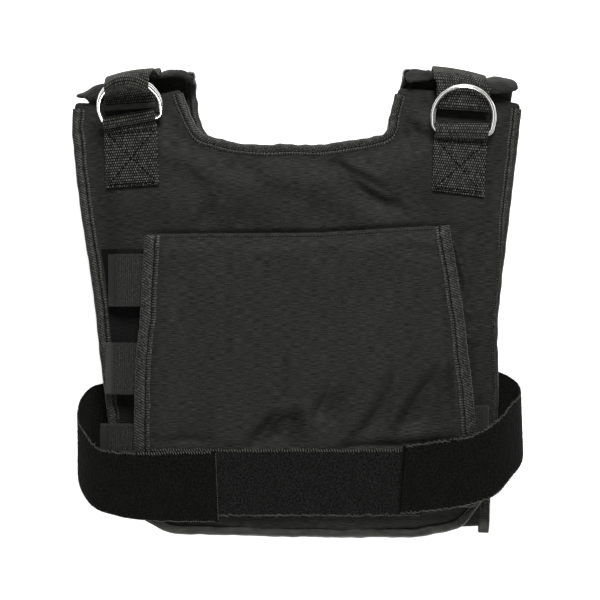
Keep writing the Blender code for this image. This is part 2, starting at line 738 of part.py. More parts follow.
nylon = fabric("black_nylon", (0.022, 0.023, 0.024), 0.78)
tape_cloth = fabric("binding_tape", (0.030, 0.031, 0.032), 0.62)
webbing = fabric("black_webbing", (0.026, 0.027, 0.027), 0.58)
elastic = fabric("black_elastic", (0.020, 0.021, 0.022), 0.70)
hook_loop = fabric("hook_and_loop", (0.017, 0.018, 0.018), 0.95)
steel = fabric("plated_steel", (0.80, 0.80, 0.78), 0.22, 1.0)

front_surface = make_panels()
make_tapes()
make_pouch()
make_side_loops()
make_shoulders()
make_belt()
centre_on_floor()
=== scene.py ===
# Weighted vest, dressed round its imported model: padded nylon panels with bound edges, a covered
# weight pouch, ribbed webbing, elastic loops, hook-and-loop belts and plated rings.
# Shapes are worked out in the vest's own millimetres and only become metres in makeMesh.
import math

import bpy
import numpy as np
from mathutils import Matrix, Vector, geometry
from mathutils.bvhtree import BVHTree


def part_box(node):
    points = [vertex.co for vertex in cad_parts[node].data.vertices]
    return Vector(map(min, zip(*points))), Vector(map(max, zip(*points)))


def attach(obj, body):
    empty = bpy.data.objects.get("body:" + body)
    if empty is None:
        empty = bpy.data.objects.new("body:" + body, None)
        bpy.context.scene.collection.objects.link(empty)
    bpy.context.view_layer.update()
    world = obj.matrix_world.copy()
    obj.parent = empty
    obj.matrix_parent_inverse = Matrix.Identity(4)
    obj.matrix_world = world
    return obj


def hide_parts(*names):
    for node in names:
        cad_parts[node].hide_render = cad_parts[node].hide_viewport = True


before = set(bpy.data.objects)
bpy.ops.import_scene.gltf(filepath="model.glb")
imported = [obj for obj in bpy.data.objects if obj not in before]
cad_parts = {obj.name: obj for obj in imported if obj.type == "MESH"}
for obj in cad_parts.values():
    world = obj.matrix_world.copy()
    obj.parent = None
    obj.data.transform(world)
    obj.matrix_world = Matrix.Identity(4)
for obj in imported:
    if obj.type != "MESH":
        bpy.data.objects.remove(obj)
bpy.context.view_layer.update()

# The vest's own millimetres against the frame's metres, read off the front band's lowest corner
bandCorner = np.array((-138.0, -199.0, 57.7))
shift = np.array(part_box("belt_front_band")[0]) * 1000.0 - bandCorner
gap = 0.3                                      # between layers that lie on each other
print("vest: frame loaded, shift in mm", shift.round(2))


def ease(t):
    # A smooth step from 0 to 1
    t = np.clip(t, 0.0, 1.0)
    return t * t * (3.0 - 2.0 * t)


def ripples(x, y, wave, seed, count=7):
    # Soft even noise from a few sine waves: about 1 high, the same each run
    rng = np.random.default_rng(seed)
    total = 0.0
    for _ in range(count):
        angle, phase = rng.uniform(0, 2 * math.pi, 2)
        turn = 2 * math.pi / (wave * rng.uniform(0.6, 1.7))
        total = total + np.sin((x * math.cos(angle) + y * math.sin(angle)) * turn + phase)
    return total / math.sqrt(count / 2)


def running(steps):
    # Places along a line, from the lengths of its steps
    return np.concatenate([[0.0], np.cumsum(steps)])


def placesAlong(points):
    return running(np.linalg.norm(np.diff(points, axis=0), axis=1))


def resampled(points, places, wanted):
    return np.stack([np.interp(wanted, places, points[:, k]) for k in range(points.shape[1])], -1)


def unit(vectors):
    return vectors / np.maximum(np.linalg.norm(vectors, axis=-1, keepdims=True), 1e-9)


def inwardFrom(line):
    # The way in from each point of a closed outline
    ahead = np.roll(line, -1, 0) - np.roll(line, 1, 0)
    return unit(np.stack([ahead[:, 1], -ahead[:, 0]], 1))


def evenSteps(points, step, closed=False):
    # The same polyline with evenly spaced points
    if closed:
        points = np.vstack([points, points[:1]])
    places = placesAlong(points)
    count = max(2, int(round(places[-1] / step)) + 1)
    result = resampled(points, places, np.linspace(0.0, places[-1], count))
    return result[:-1] if closed else result


def roundedLine(corners, step):
    # A closed outline: each corner is x, y and the radius that rounds it
    points = []
    for i, (x, y, radius) in enumerate(corners):
        here = np.array((x, y), float)
        before = np.array(corners[i - 1][:2], float) - here
        after = np.array(corners[(i + 1) % len(corners)][:2], float) - here
        lengths = np.linalg.norm(before), np.linalg.norm(after)
        half = math.acos(np.clip(before @ after / (lengths[0] * lengths[1]), -1, 1)) / 2
        reach = min(radius / math.tan(half), 0.45 * lengths[0], 0.45 * lengths[1])
        start, end = here + before / lengths[0] * reach, here + after / lengths[1] * reach
        for t in np.linspace(0.0, 1.0, 9 if reach > 0.2 else 1):
            points.append((1 - t) ** 2 * start + 2 * t * (1 - t) * here + t * t * end)
    return evenSteps(np.array(points), step, closed=True)


def lineInfo(line, x, y, chunk=3000):
    # Distance in from a closed outline, negative outside, and the place along it
    a, b = line, np.roll(line, -1, axis=0)
    side = b - a
    length = np.linalg.norm(side, axis=1)
    starts = running(length[:-1])
    lean = np.where(side[:, 1] == 0, 1.0, side[:, 1])
    shape, x, y = np.shape(x), np.ravel(x), np.ravel(y)
    distance, place = np.empty(len(x)), np.empty(len(x))
    for low in range(0, len(x), chunk):
        part = slice(low, low + chunk)
        px, py = x[part, None], y[part, None]
        t = ((px - a[:, 0]) * side[:, 0] + (py - a[:, 1]) * side[:, 1]) / length ** 2
        t = np.clip(t, 0.0, 1.0)
        off = np.hypot(a[:, 0] + t * side[:, 0] - px, a[:, 1] + t * side[:, 1] - py)
        best = off.argmin(1)
        rows = np.arange(len(best))
        crossing = (a[:, 1] > py) != (b[:, 1] > py)
        hits = (crossing & (px < a[:, 0] + (py - a[:, 1]) * side[:, 0] / lean)).sum(1)
        distance[part] = np.where(hits % 2 == 1, 1.0, -1.0) * off[rows, best]
        place[part] = starts[best] + t[rows, best] * length[best]
    return distance.reshape(shape), place.reshape(shape)


def stretchOf(line, start, end, cutStart=0.0, cutEnd=0.0, onStart=0.0, onEnd=0.0):
    # The part of an outline between the points nearest to start and end, less a bit at each end,
    # and then straight on past each end
    first, last = (int(np.linalg.norm(line - spot, axis=1).argmin()) for spot in (start, end))
    count = (last - first) % len(line)
    points = line[(first + np.arange(count + 1)) % len(line)]
    places = placesAlong(points)
    points = resampled(points, places, np.linspace(cutStart, places[-1] - cutEnd, count))
    if onStart:
        points = np.vstack([points[0] + unit(points[0] - points[3]) * onStart, points])
    if onEnd:
        points = np.vstack([points, points[-1] + unit(points[-1] - points[-4]) * onEnd])
    return points


def flow(rows, step):
    # Smooth rows through a few given ones, evenly spaced along them
    span = np.linalg.norm(np.diff(rows, axis=0), axis=-1).mean(1)
    reach = running(span)
    slope = np.diff(rows, axis=0) / span[:, None, None]
    lean = np.empty_like(rows)
    lean[0], lean[-1] = slope[0], slope[-1]
    before, after = span[:-1, None, None], span[1:, None, None]
    lean[1:-1] = (slope[1:] * before + slope[:-1] * after) / (before + after)
    wanted = np.linspace(0.0, reach[-1], max(2, int(round(reach[-1] / step)) + 1))
    at = np.clip(np.searchsorted(reach, wanted, side="right") - 1, 0, len(span) - 1)
    h = span[at][:, None, None]
    t = ((wanted - reach[at]) / span[at])[:, None, None]
    return (rows[at] * (1 + 2 * t) * (1 - t) ** 2 + lean[at] * h * t * (1 - t) ** 2
            + rows[at + 1] * t * t * (3 - 2 * t) + lean[at + 1] * h * t * t * (t - 1))


def denseGrid(rows, along, across):
    rows = flow(np.array(rows, float), along)
    return flow(rows.transpose(1, 0, 2), across).transpose(1, 0, 2)


def camelName(words):
    # A piece's name from a node's
    first, *rest = words.split("_")
    return first + "".join(word.capitalize() for word in rest)


def makeMesh(name, points, faces, flat, material, sharp=50.0):
    # points and flat are in millimetres; flat is the place on the flat cloth, kept as the UV map
    mesh = bpy.data.meshes.new(name)
    mesh.from_pydata(((points + shift) / 1000.0).tolist(), [], faces.tolist())
    corners = np.empty(len(mesh.loops), np.int32)
    mesh.loops.foreach_get("vertex_index", corners)
    layer = mesh.uv_layers.new(name="flatCloth")
    layer.uv.foreach_set("vector", (flat[corners] / 1000.0).astype(np.float32).ravel())
    mesh.materials.append(material)
    mesh.shade_smooth()
    mesh.set_sharp_from_angle(angle=math.radians(sharp))
    piece = bpy.data.objects.new(name, mesh)
    bpy.context.scene.collection.objects.link(piece)
    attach(piece, "root")
    return piece


def rounding(distance, radius=2.6):
    # How full a pad's rim is: nothing at the very edge, all of it one radius in
    return np.sqrt(1.0 - (1.0 - np.clip(distance / radius, 0.04, 1.0)) ** 2)


def facingOut(points, faces):
    # Turns the faces of a closed mesh outwards
    corners = [points[faces[:, k]] for k in range(faces.shape[1])]
    volume = sum((corners[0] * np.cross(b, c)).sum() for b, c in zip(corners[1:], corners[2:]))
    return faces[:, ::-1] if volume < 0 else faces


def clothPiece(name, grid, thickness, material, node=None, relief=None,
               thinEdge=0.55, fromEdges=0.0):
    # A closed sheet of cloth round a grid of its middle: rows run along it, columns across.
    # relief lifts both faces; fromEdges scales the flat cloth's width, counted from both edges.
    count, wide = grid.shape[:2]
    v = running(np.linalg.norm(np.diff(grid, axis=0), axis=2).mean(1))
    u = running(np.linalg.norm(np.diff(grid, axis=1), axis=2).mean(0))
    uu, vv = np.meshgrid(u, v)
    half = np.full((count, wide), thickness / 2)
    half[:, [0, -1]] *= thinEdge
    half[[0, -1], :] *= thinEdge
    normals = unit(np.cross(np.gradient(grid, axis=1), np.gradient(grid, axis=0)))
    rise = relief(uu, vv, u[-1], v[-1]) if relief else np.zeros_like(half)
    out = normals * (half + rise)[..., None]
    points = np.concatenate([(grid + out).reshape(-1, 3), (grid - out).reshape(-1, 3)])
    across = np.minimum(uu, u[-1] - uu) * fromEdges if fromEdges else uu
    flat = np.tile(np.stack([across, vv], 2).reshape(-1, 2), (2, 1))
    index = np.arange(count * wide).reshape(count, wide)
    a, b, c, d = index[:-1, :-1], index[:-1, 1:], index[1:, 1:], index[1:, :-1]
    upper = np.stack([a, b, c, d], 2).reshape(-1, 4)
    lower = upper[:, ::-1] + count * wide
    rim = np.concatenate([index[0, :], index[1:, -1], index[-1, -2::-1], index[-2:0:-1, 0]])
    after = np.roll(rim, -1)
    skirt = np.stack([rim, rim + count * wide, after + count * wide, after], 1)
    faces = facingOut(points, np.concatenate([upper, lower, skirt]))
    piece = makeMesh(name, points, faces, flat, material)
    if node:
        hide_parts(node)
    return {"grid": grid, "normals": normals, "u": u, "v": v, "half": thickness / 2}


def onCloth(cloth, u, v, side=1.0):
    # Points on one face of a sheet, and the way out of it, from places on the flat cloth
    column = np.interp(u, cloth["u"], np.arange(len(cloth["u"])))
    row = np.interp(v, cloth["v"], np.arange(len(cloth["v"])))
    i, j = np.floor(row).astype(int), np.floor(column).astype(int)
    i, j = np.minimum(i, len(cloth["v"]) - 2), np.minimum(j, len(cloth["u"]) - 2)
    s, t = (row - i)[:, None], (column - j)[:, None]
    mixed = []
    for field in (cloth["grid"], cloth["normals"]):
        low = field[i, j] * (1 - t) + field[i, j + 1] * t
        high = field[i + 1, j] * (1 - t) + field[i + 1, j + 1] * t
        mixed.append(low * (1 - s) + high * s)
    out = mixed[1] * side
    return mixed[0] + out * cloth["half"], out


def faceUp(cloth):
    # Which face of a sheet looks up at its far end
    return 1.0 if cloth["normals"][-3, len(cloth["u"]) // 2, 2] > 0 else -1.0


def paddedPiece(name, line, spacing, lower, upper, node=None, bend=None):
    # A closed nylon pad between two height functions of (x, y, distance in, place along the outline)
    border = evenSteps(line, spacing, closed=True)
    low, high = border.min(0), border.max(0)
    rows = np.arange(low[1] + spacing / 2, high[1], spacing * 0.866)
    x, y = np.meshgrid(np.arange(low[0] + spacing / 2, high[0], spacing), rows)
    x = x + np.where(np.arange(len(rows)) % 2, spacing / 2, 0.0)[:, None]
    x, y = x.ravel(), y.ravel()
    rim = np.concatenate([border + inwardFrom(border) * inset for inset in (0.7, 1.9)])
    off, _ = lineInfo(border, rim[:, 0], rim[:, 1])
    rim = rim[(off > 0.62) & ((off < 0.8) | (off > 1.75))]      # none where the outline bends sharply
    keep = lineInfo(border, x, y)[0] > 1.9 + spacing * 0.5
    flat = [Vector(p) for p in (*border, *rim, *zip(x[keep], y[keep]))]
    spots, _, faces, *_ = geometry.delaunay_2d_cdt(flat, [], [list(range(len(border)))], 1, 1e-4)
    spots, faces = np.array([p[:] for p in spots]), np.array(faces)
    distance, place = lineInfo(border, spots[:, 0], spots[:, 1])
    info = (spots[:, 0], spots[:, 1], np.maximum(distance, 0.0), place)
    top, bottom = (np.column_stack([spots, height(*info)]) for height in (upper, lower))
    if bend:
        top, bottom = bend(top), bend(bottom)
    count = len(spots)
    edges = np.concatenate([faces[:, [0, 1]], faces[:, [1, 2]], faces[:, [2, 0]]])
    _, first, uses = np.unique(np.sort(edges, axis=1), axis=0, return_index=True, return_counts=True)
    rim = edges[first[uses == 1]]
    skirt = np.concatenate([np.stack([rim[:, 1], rim[:, 0], rim[:, 0] + count], 1),
                            np.stack([rim[:, 1], rim[:, 0] + count, rim[:, 1] + count], 1)])
    points = np.concatenate([top, bottom])
    solid = np.concatenate([faces, faces[:, ::-1] + count, skirt])
    piece = makeMesh(name, points, facingOut(points, solid), np.concatenate([spots, spots]),
                     nylon, 70.0)
    if node:
        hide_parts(node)
    print("vest:", name, len(solid), "triangles")
    return piece, points, solid


def stitching(name, runs, thread):
    # Sewn threads: each run is points on the cloth, the way out of it and a style of stitch
    sides, rings, chance = 4, 5, np.random.default_rng(31)
    spin = np.arange(sides)[:, None] * 2 * math.pi / sides
    share = np.linspace(0.0, 1.0, rings)
    allPoints, allFaces, start = [], [], 0
    for points, out, style in runs:
        places, pitch = placesAlong(points), style["pitch"]
        begins = np.arange(pitch * 0.3, places[-1] - pitch * 0.8, pitch)
        if len(begins) == 0:
            continue
        where = begins[:, None] + share * pitch * style["fill"]
        centre = resampled(points, places, where)
        up = unit(resampled(out, places, where))
        ahead = unit(resampled(points, places, where + 0.05) - centre)
        # each stitch is a little longer or shorter and off its place
        stray = style.get("stray", 0.0) * chance.normal(size=(3, len(begins), 1, 1))
        sway = (share - 0.5)[:, None] * style.get("across", 0.0) * (1.0 + 0.6 * stray[0])
        arch = np.sin(share * math.pi) ** 0.6 * style["lift"] - style["sink"]
        centre = (centre + np.cross(ahead, up) * (sway + 0.5 * stray[1]) + up * arch[:, None]
                  + ahead * stray[2] * (share - 0.5)[:, None])
        across = unit(np.cross(unit(np.gradient(centre, axis=1)), up))
        thin = style["radius"] * (0.62 + 0.38 * np.sin(share * math.pi))
        tube = centre[:, :, None] + thin[:, None, None] * (
            across[:, :, None] * np.cos(spin) + up[:, :, None] * np.sin(spin))
        count = len(begins) * rings * sides
        index = start + np.arange(count).reshape(-1, rings, sides)
        after = np.roll(index, -1, axis=2)
        wall = np.stack([index[:, :-1], index[:, 1:], after[:, 1:], after[:, :-1]], -1).reshape(-1, 4)
        allPoints.append(tube.reshape(-1, 3))
        allFaces.append(wall)
        start += count
    points, faces = np.concatenate(allPoints), np.concatenate(allFaces)
    makeMesh(name, points, faces, points[:, :2], thread, 80.0)


# Materials: each is drawn from the flat cloth's millimetres or from the piece's own place
class NodeBoard:
    # Shorthand for building one material's node tree
    def __init__(self, name, look, **sockets):
        self.material = bpy.data.materials.new(name)
        self.material.use_nodes = True
        self.tree = self.material.node_tree
        self.shader = self.tree.nodes["Principled BSDF"]
        self.base = look["base"]
        self.shader.inputs["Base Color"].default_value = (*look["base"], 1.0)
        self.shader.inputs["Roughness"].default_value = look["roughness"]
        self.shader.inputs["Specular IOR Level"].default_value = look["specular"]
        for socket, value in sockets.items():
            self.shader.inputs[socket.replace("_", " ")].default_value = value

    def add(self, kind, inputs, **settings):
        node = self.tree.nodes.new("ShaderNode" + kind)
        for key, value in settings.items():
            setattr(node, key, value)
        for key, value in inputs.items():
            if isinstance(value, bpy.types.NodeSocket):
                self.tree.links.new(value, node.inputs[key])
            else:
                node.inputs[key].default_value = value
        return node.outputs

    def math(self, operation, a, b=0.0):
        return self.add("Math", {0: a, 1: b}, operation=operation)[0]

    def times(self, first, *others):
        for other in others:
            first = self.math("MULTIPLY", first, other)
        return first

    def flatMillimetres(self, scale=(1.0, 1.0), turn=0.0):
        place = self.add("UVMap", {}, uv_map="flatCloth")[0]
        size = (1000.0 * scale[0], 1000.0 * scale[1], 1000.0)
        return self.add("Mapping", {"Vector": place, "Scale": size, "Rotation": (0.0, 0.0, turn)})[0]

    def solidMillimetres(self):
        place = self.add("TexCoord", {})["Object"]
        return self.add("Mapping", {"Vector": place, "Scale": (1000.0,) * 3})[0]

    def split(self, vector):
        return self.add("SeparateXYZ", {0: vector})

    def waves(self, period, along, distortion=0.7, turn=0.0):
        # Rows across the flat cloth, this many millimetres apart
        inputs = {"Vector": self.flatMillimetres(turn=turn), "Scale": 0.314 / period,
                  "Distortion": distortion, "Detail": 2.0, "Detail Scale": 0.6}
        return self.add("TexWave", inputs, bands_direction=along)["Fac"]

    def noise(self, vector, scale=1.0, detail=1.0, roughness=0.5):
        inputs = {"Vector": vector, "Scale": scale, "Detail": detail, "Roughness": roughness}
        return self.add("TexNoise", inputs)["Fac"]

    def ramp(self, value, low, high, dark, light):
        inputs = {"Value": value, "From Min": low, "From Max": high, "To Min": dark, "To Max": light}
        return self.add("MapRange", inputs)[0]

    def bump(self, height, distance, strength, under=None):
        inputs = {"Height": height, "Distance": distance / 1000.0, "Strength": strength}
        if under:
            inputs["Normal"] = under
        return self.add("Bump", inputs)[0]

    def feed(self, socket, value):
        self.tree.links.new(value, self.shader.inputs[socket])

    def tint(self, *strengths):
        # The base colour times values that vary over the cloth
        scaled = self.add("VectorMath", {0: self.base, "Scale": self.times(*strengths)}, operation="SCALE")
        self.feed("Base Color", scaled[0])


nylonLook = {"base": (0.0100, 0.0101, 0.0089), "roughness": 0.66, "specular": 0.16, "sheen": 0.05,
             "thread": 0.9, "streak": 0.80, "grain": 0.34}
hemLook = {"base": (0.022, 0.0225, 0.0195), "roughness": 0.55, "specular": 0.25, "sheen": 0.05,
           "thread": 0.9, "streak": 0.4, "grain": 0.3}
# how often the nylon changes tone in each millimetre, across and along; broad is for both
nylonTones = {"weft": (0.115, 1.75), "warp": (1.90, 0.50), "grain": (1.4, 1.8), "broad": 0.021}
# each shade is the darkest and the lightest share of the base colour
tapeLook = {"base": (0.0068, 0.0070, 0.0060), "roughness": 0.45, "specular": 0.22, "rib": 2.0, "slant": 52.0,
            "ribShade": (0.22, 3.4), "grain": 0.70, "grainShade": (0.10, 2.4), "wornShade": (0.75, 1.3),
            "seam": 3.1, "seamShade": (0.30, 1.0),           # seam: from the edge, on the flat cloth
            "hem": (-216.0, -207.0), "paintedHemSheen": (4.8, 11.2)}        # hem: y, and below it a painted sheen makes the colour several times lighter
webbingLook = {"base": (0.0056, 0.0058, 0.0047), "roughness": 0.50, "specular": 0.12, "dot": 2.2, "row": 2.5,
               "between": 0.78, "dotShade": (0.02, 15.9), "worn": 0.11, "wornShade": (0.65, 1.35)}
elasticLook = {"base": (0.0132, 0.0135, 0.0125), "roughness": 0.65, "specular": 0.12, "rib": 1.8,
               "ribShade": (0.65, 1.4), "grain": 0.60, "grainShade": (0.35, 1.9), "longShade": (0.8, 1.2)}
# painted shade: the strip behind the left loops is given a much darker colour than the loops
shadedLook = {**elasticLook, "base": (0.0036, 0.0038, 0.0035), "roughness": 0.75, "specular": 0.08}
loopBendShade = {"x": (-173.0, -170.0), "y": (-20.0, -10.0), "shade": 0.20}      # painted shade: the colour over the top loop's bend is darkened
pileLook = {"base": (0.0016, 0.0017, 0.0014), "roughness": 0.95, "specular": 0.04, "sheen": 0.02,
            "speck": 0.62, "speckShade": (0.02, 4.4), "mattedShade": (0.78, 1.25), "rowShade": (0.82, 1.18)}
bandLook = {**pileLook, "base": (0.0029, 0.0030, 0.0028), "roughness": 0.92, "specular": 0.05,
            "sheen": 0.025}
threadLook = {"base": (0.0010, 0.0011, 0.0009), "roughness": 0.70, "specular": 0.04}
paleThreadLook = {"base": (0.072, 0.074, 0.062), "roughness": 0.50, "specular": 0.2}
steelLook = {"base": (0.80, 0.785, 0.76), "roughness": 0.23, "specular": 0.5, "wear": 0.22, "scratch": 1.8}


def nylonCloth(name, look):
    board = NodeBoard(name, look, Sheen_Weight=look["sheen"], Sheen_Roughness=0.45)
    weft = board.noise(board.flatMillimetres(nylonTones["weft"]))            # long threads across
    warp = board.noise(board.flatMillimetres(nylonTones["warp"]))            # and up the cloth
    grain = board.noise(board.flatMillimetres(nylonTones["grain"]))
    broad = board.noise(board.flatMillimetres(), nylonTones["broad"], 2.0)
    streak, fine, rough = look["streak"], look["grain"], look["roughness"]
    board.tint(board.ramp(weft, 0.34, 0.66, 1 - streak, 1 + streak),
               board.ramp(warp, 0.34, 0.66, 1 - streak * 0.55, 1 + streak * 0.55),
               board.ramp(grain, 0.32, 0.68, 1 - fine, 1 + fine),
               board.ramp(broad, 0.3, 0.7, 0.90, 1.10))
    over, under = board.waves(look["thread"], "X", 0.6), board.waves(look["thread"], "Y", 0.9)
    weave = board.bump(board.times(over, under), 0.10, 0.5)
    board.feed("Normal", board.bump(board.math("ADD", weft, board.times(grain, 0.8)), 0.35, 0.4, weave))
    board.feed("Roughness", board.ramp(weft, 0.3, 0.7, rough + 0.07, rough - 0.07))
    return board.material


def bindingCloth(name, look):
    # Slanting ribs between the folded edge and the seam, ticks inside the seam
    board = NodeBoard(name, look, Sheen_Weight=0.06)
    across = board.split(board.flatMillimetres())["X"]
    upward = board.split(board.solidMillimetres())["Y"]
    shown = board.ramp(upward, *look["hem"], 0.0, 1.0)               # the bottom hem is smooth, with a painted sheen
    inside = board.ramp(across, look["seam"] - 0.5, look["seam"] + 0.5, 0.0, 1.0)
    ribs = board.waves(look["rib"], "X", 1.0, turn=math.radians(look["slant"]))
    ticks = board.waves(look["rib"] * 1.2, "Y", 0.8)
    grain = board.noise(board.flatMillimetres(), look["grain"])
    worn = board.noise(board.flatMillimetres((1.0, 0.35)), 0.16, 2.0)
    both = board.math("ADD", board.times(ribs, inside),
                      board.times(ticks, board.math("SUBTRACT", 1.0, inside)))
    both = board.times(both, shown)
    fromSeam = board.math("ABSOLUTE", board.math("SUBTRACT", across, look["seam"]))
    tape = board.times(board.ramp(both, 0.15, 0.9, *look["ribShade"]),
                       board.ramp(grain, 0.36, 0.64, *look["grainShade"]),
                       board.ramp(fromSeam, 0.3, 0.8, *look["seamShade"]),
                       board.ramp(worn, 0.3, 0.7, *look["wornShade"]), shown)
    # painted sheen: the hem's colour is several times the base, varied by the worn noise
    hem = board.times(board.math("SUBTRACT", 1.0, shown), board.ramp(worn, 0.3, 0.7, *look["paintedHemSheen"]))
    board.tint(board.math("ADD", tape, hem))
    board.feed("Normal", board.bump(both, 0.35, 0.6, board.bump(grain, 0.35, 0.5)))
    return board.material


def ribbedWebbing(name, look):
    # Staggered thread crossings: bright where the weft floats, dark between
    board = NodeBoard(name, look, Sheen_Weight=0.03)
    brick = board.add("TexBrick", {
        "Vector": board.flatMillimetres(), "Color1": (1.0, 1.0, 1.0, 1.0), "Color2": (0.55, 0.55, 0.55, 1.0),
        "Mortar": (0.0, 0.0, 0.0, 1.0), "Scale": 1.0, "Mortar Size": look["between"], "Mortar Smooth": 0.9,
        "Brick Width": look["dot"], "Row Height": look["row"]}, offset=0.5)
    value = board.add("RGBToBW", {0: brick["Color"]})[0]
    worn = board.noise(board.flatMillimetres(), look["worn"], 3.0, 0.6)
    board.tint(board.ramp(value, 0.37, 0.85, *look["dotShade"]),
               board.ramp(worn, 0.3, 0.7, *look["wornShade"]))
    board.feed("Normal", board.bump(value, 0.45, 0.9))
    return board.material


def ribbedElastic(name, look):
    board = NodeBoard(name, look, Sheen_Weight=0.06)
    ribs = board.waves(look["rib"], "Y")
    grain = board.noise(board.flatMillimetres(), look["grain"], 2.0, 0.65)
    long = board.noise(board.flatMillimetres((0.18, 0.9)), 1.0, 2.0, 0.6)
    spot = board.split(board.solidMillimetres())
    # painted shade: colour darkened to a fifth where x is below -173 and y above -10, over the top loop's
    # outer bend and the strip beside it
    bend = board.math("ADD", board.ramp(spot["X"], *loopBendShade["x"], loopBendShade["shade"], 1.0),
                      board.ramp(spot["Y"], *loopBendShade["y"], 1.0, 0.0))
    board.tint(board.ramp(ribs, 0.1, 0.9, *look["ribShade"]),
               board.ramp(grain, 0.34, 0.66, *look["grainShade"]), board.math("MINIMUM", bend, 1.0),
               board.ramp(long, 0.3, 0.7, *look["longShade"]))
    board.feed("Normal", board.bump(ribs, 0.25, 0.5))
    return board.material


def loopPile(name, look):
    # Brushed loops: specks of light on a very dark ground
    board = NodeBoard(name, look, Sheen_Weight=look["sheen"], Sheen_Roughness=0.6)
    specks = board.noise(board.flatMillimetres(), look["speck"], 3.0, 0.7)
    matted = board.noise(board.flatMillimetres(), 0.10, 3.0, 0.6)
    rows = board.noise(board.flatMillimetres((0.9, 0.12)), 1.0, 2.0)
    board.tint(board.ramp(specks, 0.43, 0.60, *look["speckShade"]),
               board.ramp(matted, 0.3, 0.7, *look["mattedShade"]),
               board.ramp(rows, 0.3, 0.7, *look["rowShade"]))
    board.feed("Normal", board.bump(specks, 1.8, 0.8))
    return board.material


def sewingThread(name, look):
    board = NodeBoard(name, look)
    twist = board.noise(board.solidMillimetres(), 1.6, 2.0)
    board.tint(board.ramp(twist, 0.3, 0.7, 0.65, 1.4))
    return board.material


def platedSteel(name, look):
    board = NodeBoard(name, look, Metallic=1.0)
    wear = board.noise(board.solidMillimetres(), look["wear"], 4.0, 0.65)
    board.feed("Roughness", board.ramp(wear, 0.35, 0.7, look["roughness"] - 0.05, look["roughness"] + 0.10))
    scratches = board.noise(board.solidMillimetres(), look["scratch"], 3.0, 0.6)
    board.feed("Normal", board.bump(scratches, 0.03, 0.05))
    return board.material


nylon = nylonCloth("blackNylon", nylonLook)
hemNylon = nylonCloth("hemNylon", hemLook)
binding = bindingCloth("bindingTape", tapeLook)
webbing = ribbedWebbing("blackWebbing", webbingLook)
elastic = ribbedElastic("blackElastic", elasticLook)
shadedElastic = ribbedElastic("stripElastic", shadedLook)
pile = loopPile("hookPile", pileLook)
bandPile = loopPile("bandPile", bandLook)
thread = sewingThread("blackThread", threadLook)
paleThread = sewingThread("overlockThread", paleThreadLook)
steel = platedSteel("platedSteel", steelLook)
print("vest: materials made")


# Front panel: a padded sheet over the torso space, with its creases
frontPanel = {
    "corners": (
        (-213, 187, 4), (-200, 186, 8), (-135, 194, 20), (-112, 199, 3),
        (-110, 190, 10), (-102.5, 171, 30), (-94.5, 155.5, 16), (-64, 146.5, 40), (-40, 145, 60),
        (10, 145, 60), (62, 150, 50), (84, 156, 14), (86, 174, 30),
        (93, 199, 3), (150, 197, 30), (195, 187, 8), (207.8, 185, 4),
        (204, 146, 60), (197.2, 84, 100), (189, 27, 60), (186.2, -16, 60), (186, -50, 60),
        (184.8, -110, 60), (181.5, -158, 40), (168, -193, 30), (151, -216.5, 30),
        (110, -221.6, 60), (64, -222.8, 60), (0, -221.8, 0), (-85, -220.6, 60), (-121, -219.4, 40),
        (-147, -207, 30), (-172, -175, 40), (-181, -104, 60), (-186, -62, 60), (-190.4, -16, 60),
        (-196.8, 27, 60), (-205.3, 84, 80), (-210.7, 122, 80), (-214.6, 162, 30),
    ),
    "edge": 4.0, "full": 12.0, "flat": 11.0, "swell": 28.0,       # thickness and how it grows
    "middle": 33.0, "camber": 5.0,                                 # height, and how far the sides fall
    "hemDrop": 3.0, "hemDropFrom": -150.0, "hemDropFade": 70.0,
    "spacing": 2.7, "wander": 0.45,
    # points along each fold, half width, depth of the valley, height of the ridge on its left
    "folds": (
        (((29, 141), (36, 128.5), (48, 121), (63, 113.5), (81, 104)), 2.6, 3.4, 0.8),
        (((38, 119), (50, 110), (62, 101), (75, 92.5), (93, 88)), 4.6, 5.2, 1.2),
        (((102, 168), (110, 160), (123, 152)), 3.4, 2.6, 1.0),
        (((98, 158), (106, 149), (112, 138)), 3.6, 2.2, 0.8),
        (((-120, 128), (-104, 119), (-88, 104)), 6.0, 2.0, 1.2),
        (((-140, 96), (-143, 84), (-146, 66)), 6.0, 1.3, 0.8),
        (((-84, 92), (-88, 82), (-93, 66)), 6.5, 1.6, 0.9),
        (((-52, 90), (-55, 80), (-57, 66)), 6.0, 1.3, 0.8),
        (((14, 92), (12, 80), (14, 68)), 6.0, 1.1, 0.7),
        (((112, 96), (120, 84), (124, 70)), 6.0, 1.5, 0.9),
        (((152, 70), (154, 62), (153, 54)), 4.0, 2.2, 0.6),
        (((143, 52), (147, 32), (150, 10), (149, -4)), 3.6, 2.4, 0.0),
        (((154, -15), (162, -18), (171, -24)), 3.8, 2.4, 1.4),
        (((156, -40), (162, -47), (164, -60)), 3.6, 2.0, 0.6),
        (((-38, 134), (-58, 120), (-96, 118)), 9.0, 0.8, 0.6),
        (((-163, -4), (-165, -22), (-164, -42)), 3.4, 2.2, 0.4),
        (((-155, -6), (-156, -38)), 3.0, 1.4, 0.3),
        (((-170, -86), (-167, -100), (-168, -118)), 3.4, 2.2, 0.4),
        (((-160, -88), (-159, -116)), 3.0, 1.6, 0.4),
        (((-60, 128), (-30, 104), (4, 96)), 9.0, 0.9, 0.5),
        (((-146, 61.6), (-60, 62.4), (20, 63), (90, 67.5), (142, 69.5)), 2.0, 3.0, 0.0),
    ),
    "puckers": 0.35, "puckerPitch": 11.5, "drift": 0.6,
    "hemFrom": -198.0, "hemFade": 12.0, "hemSwell": 11.0,          # the bottom hem swells from its edge
}


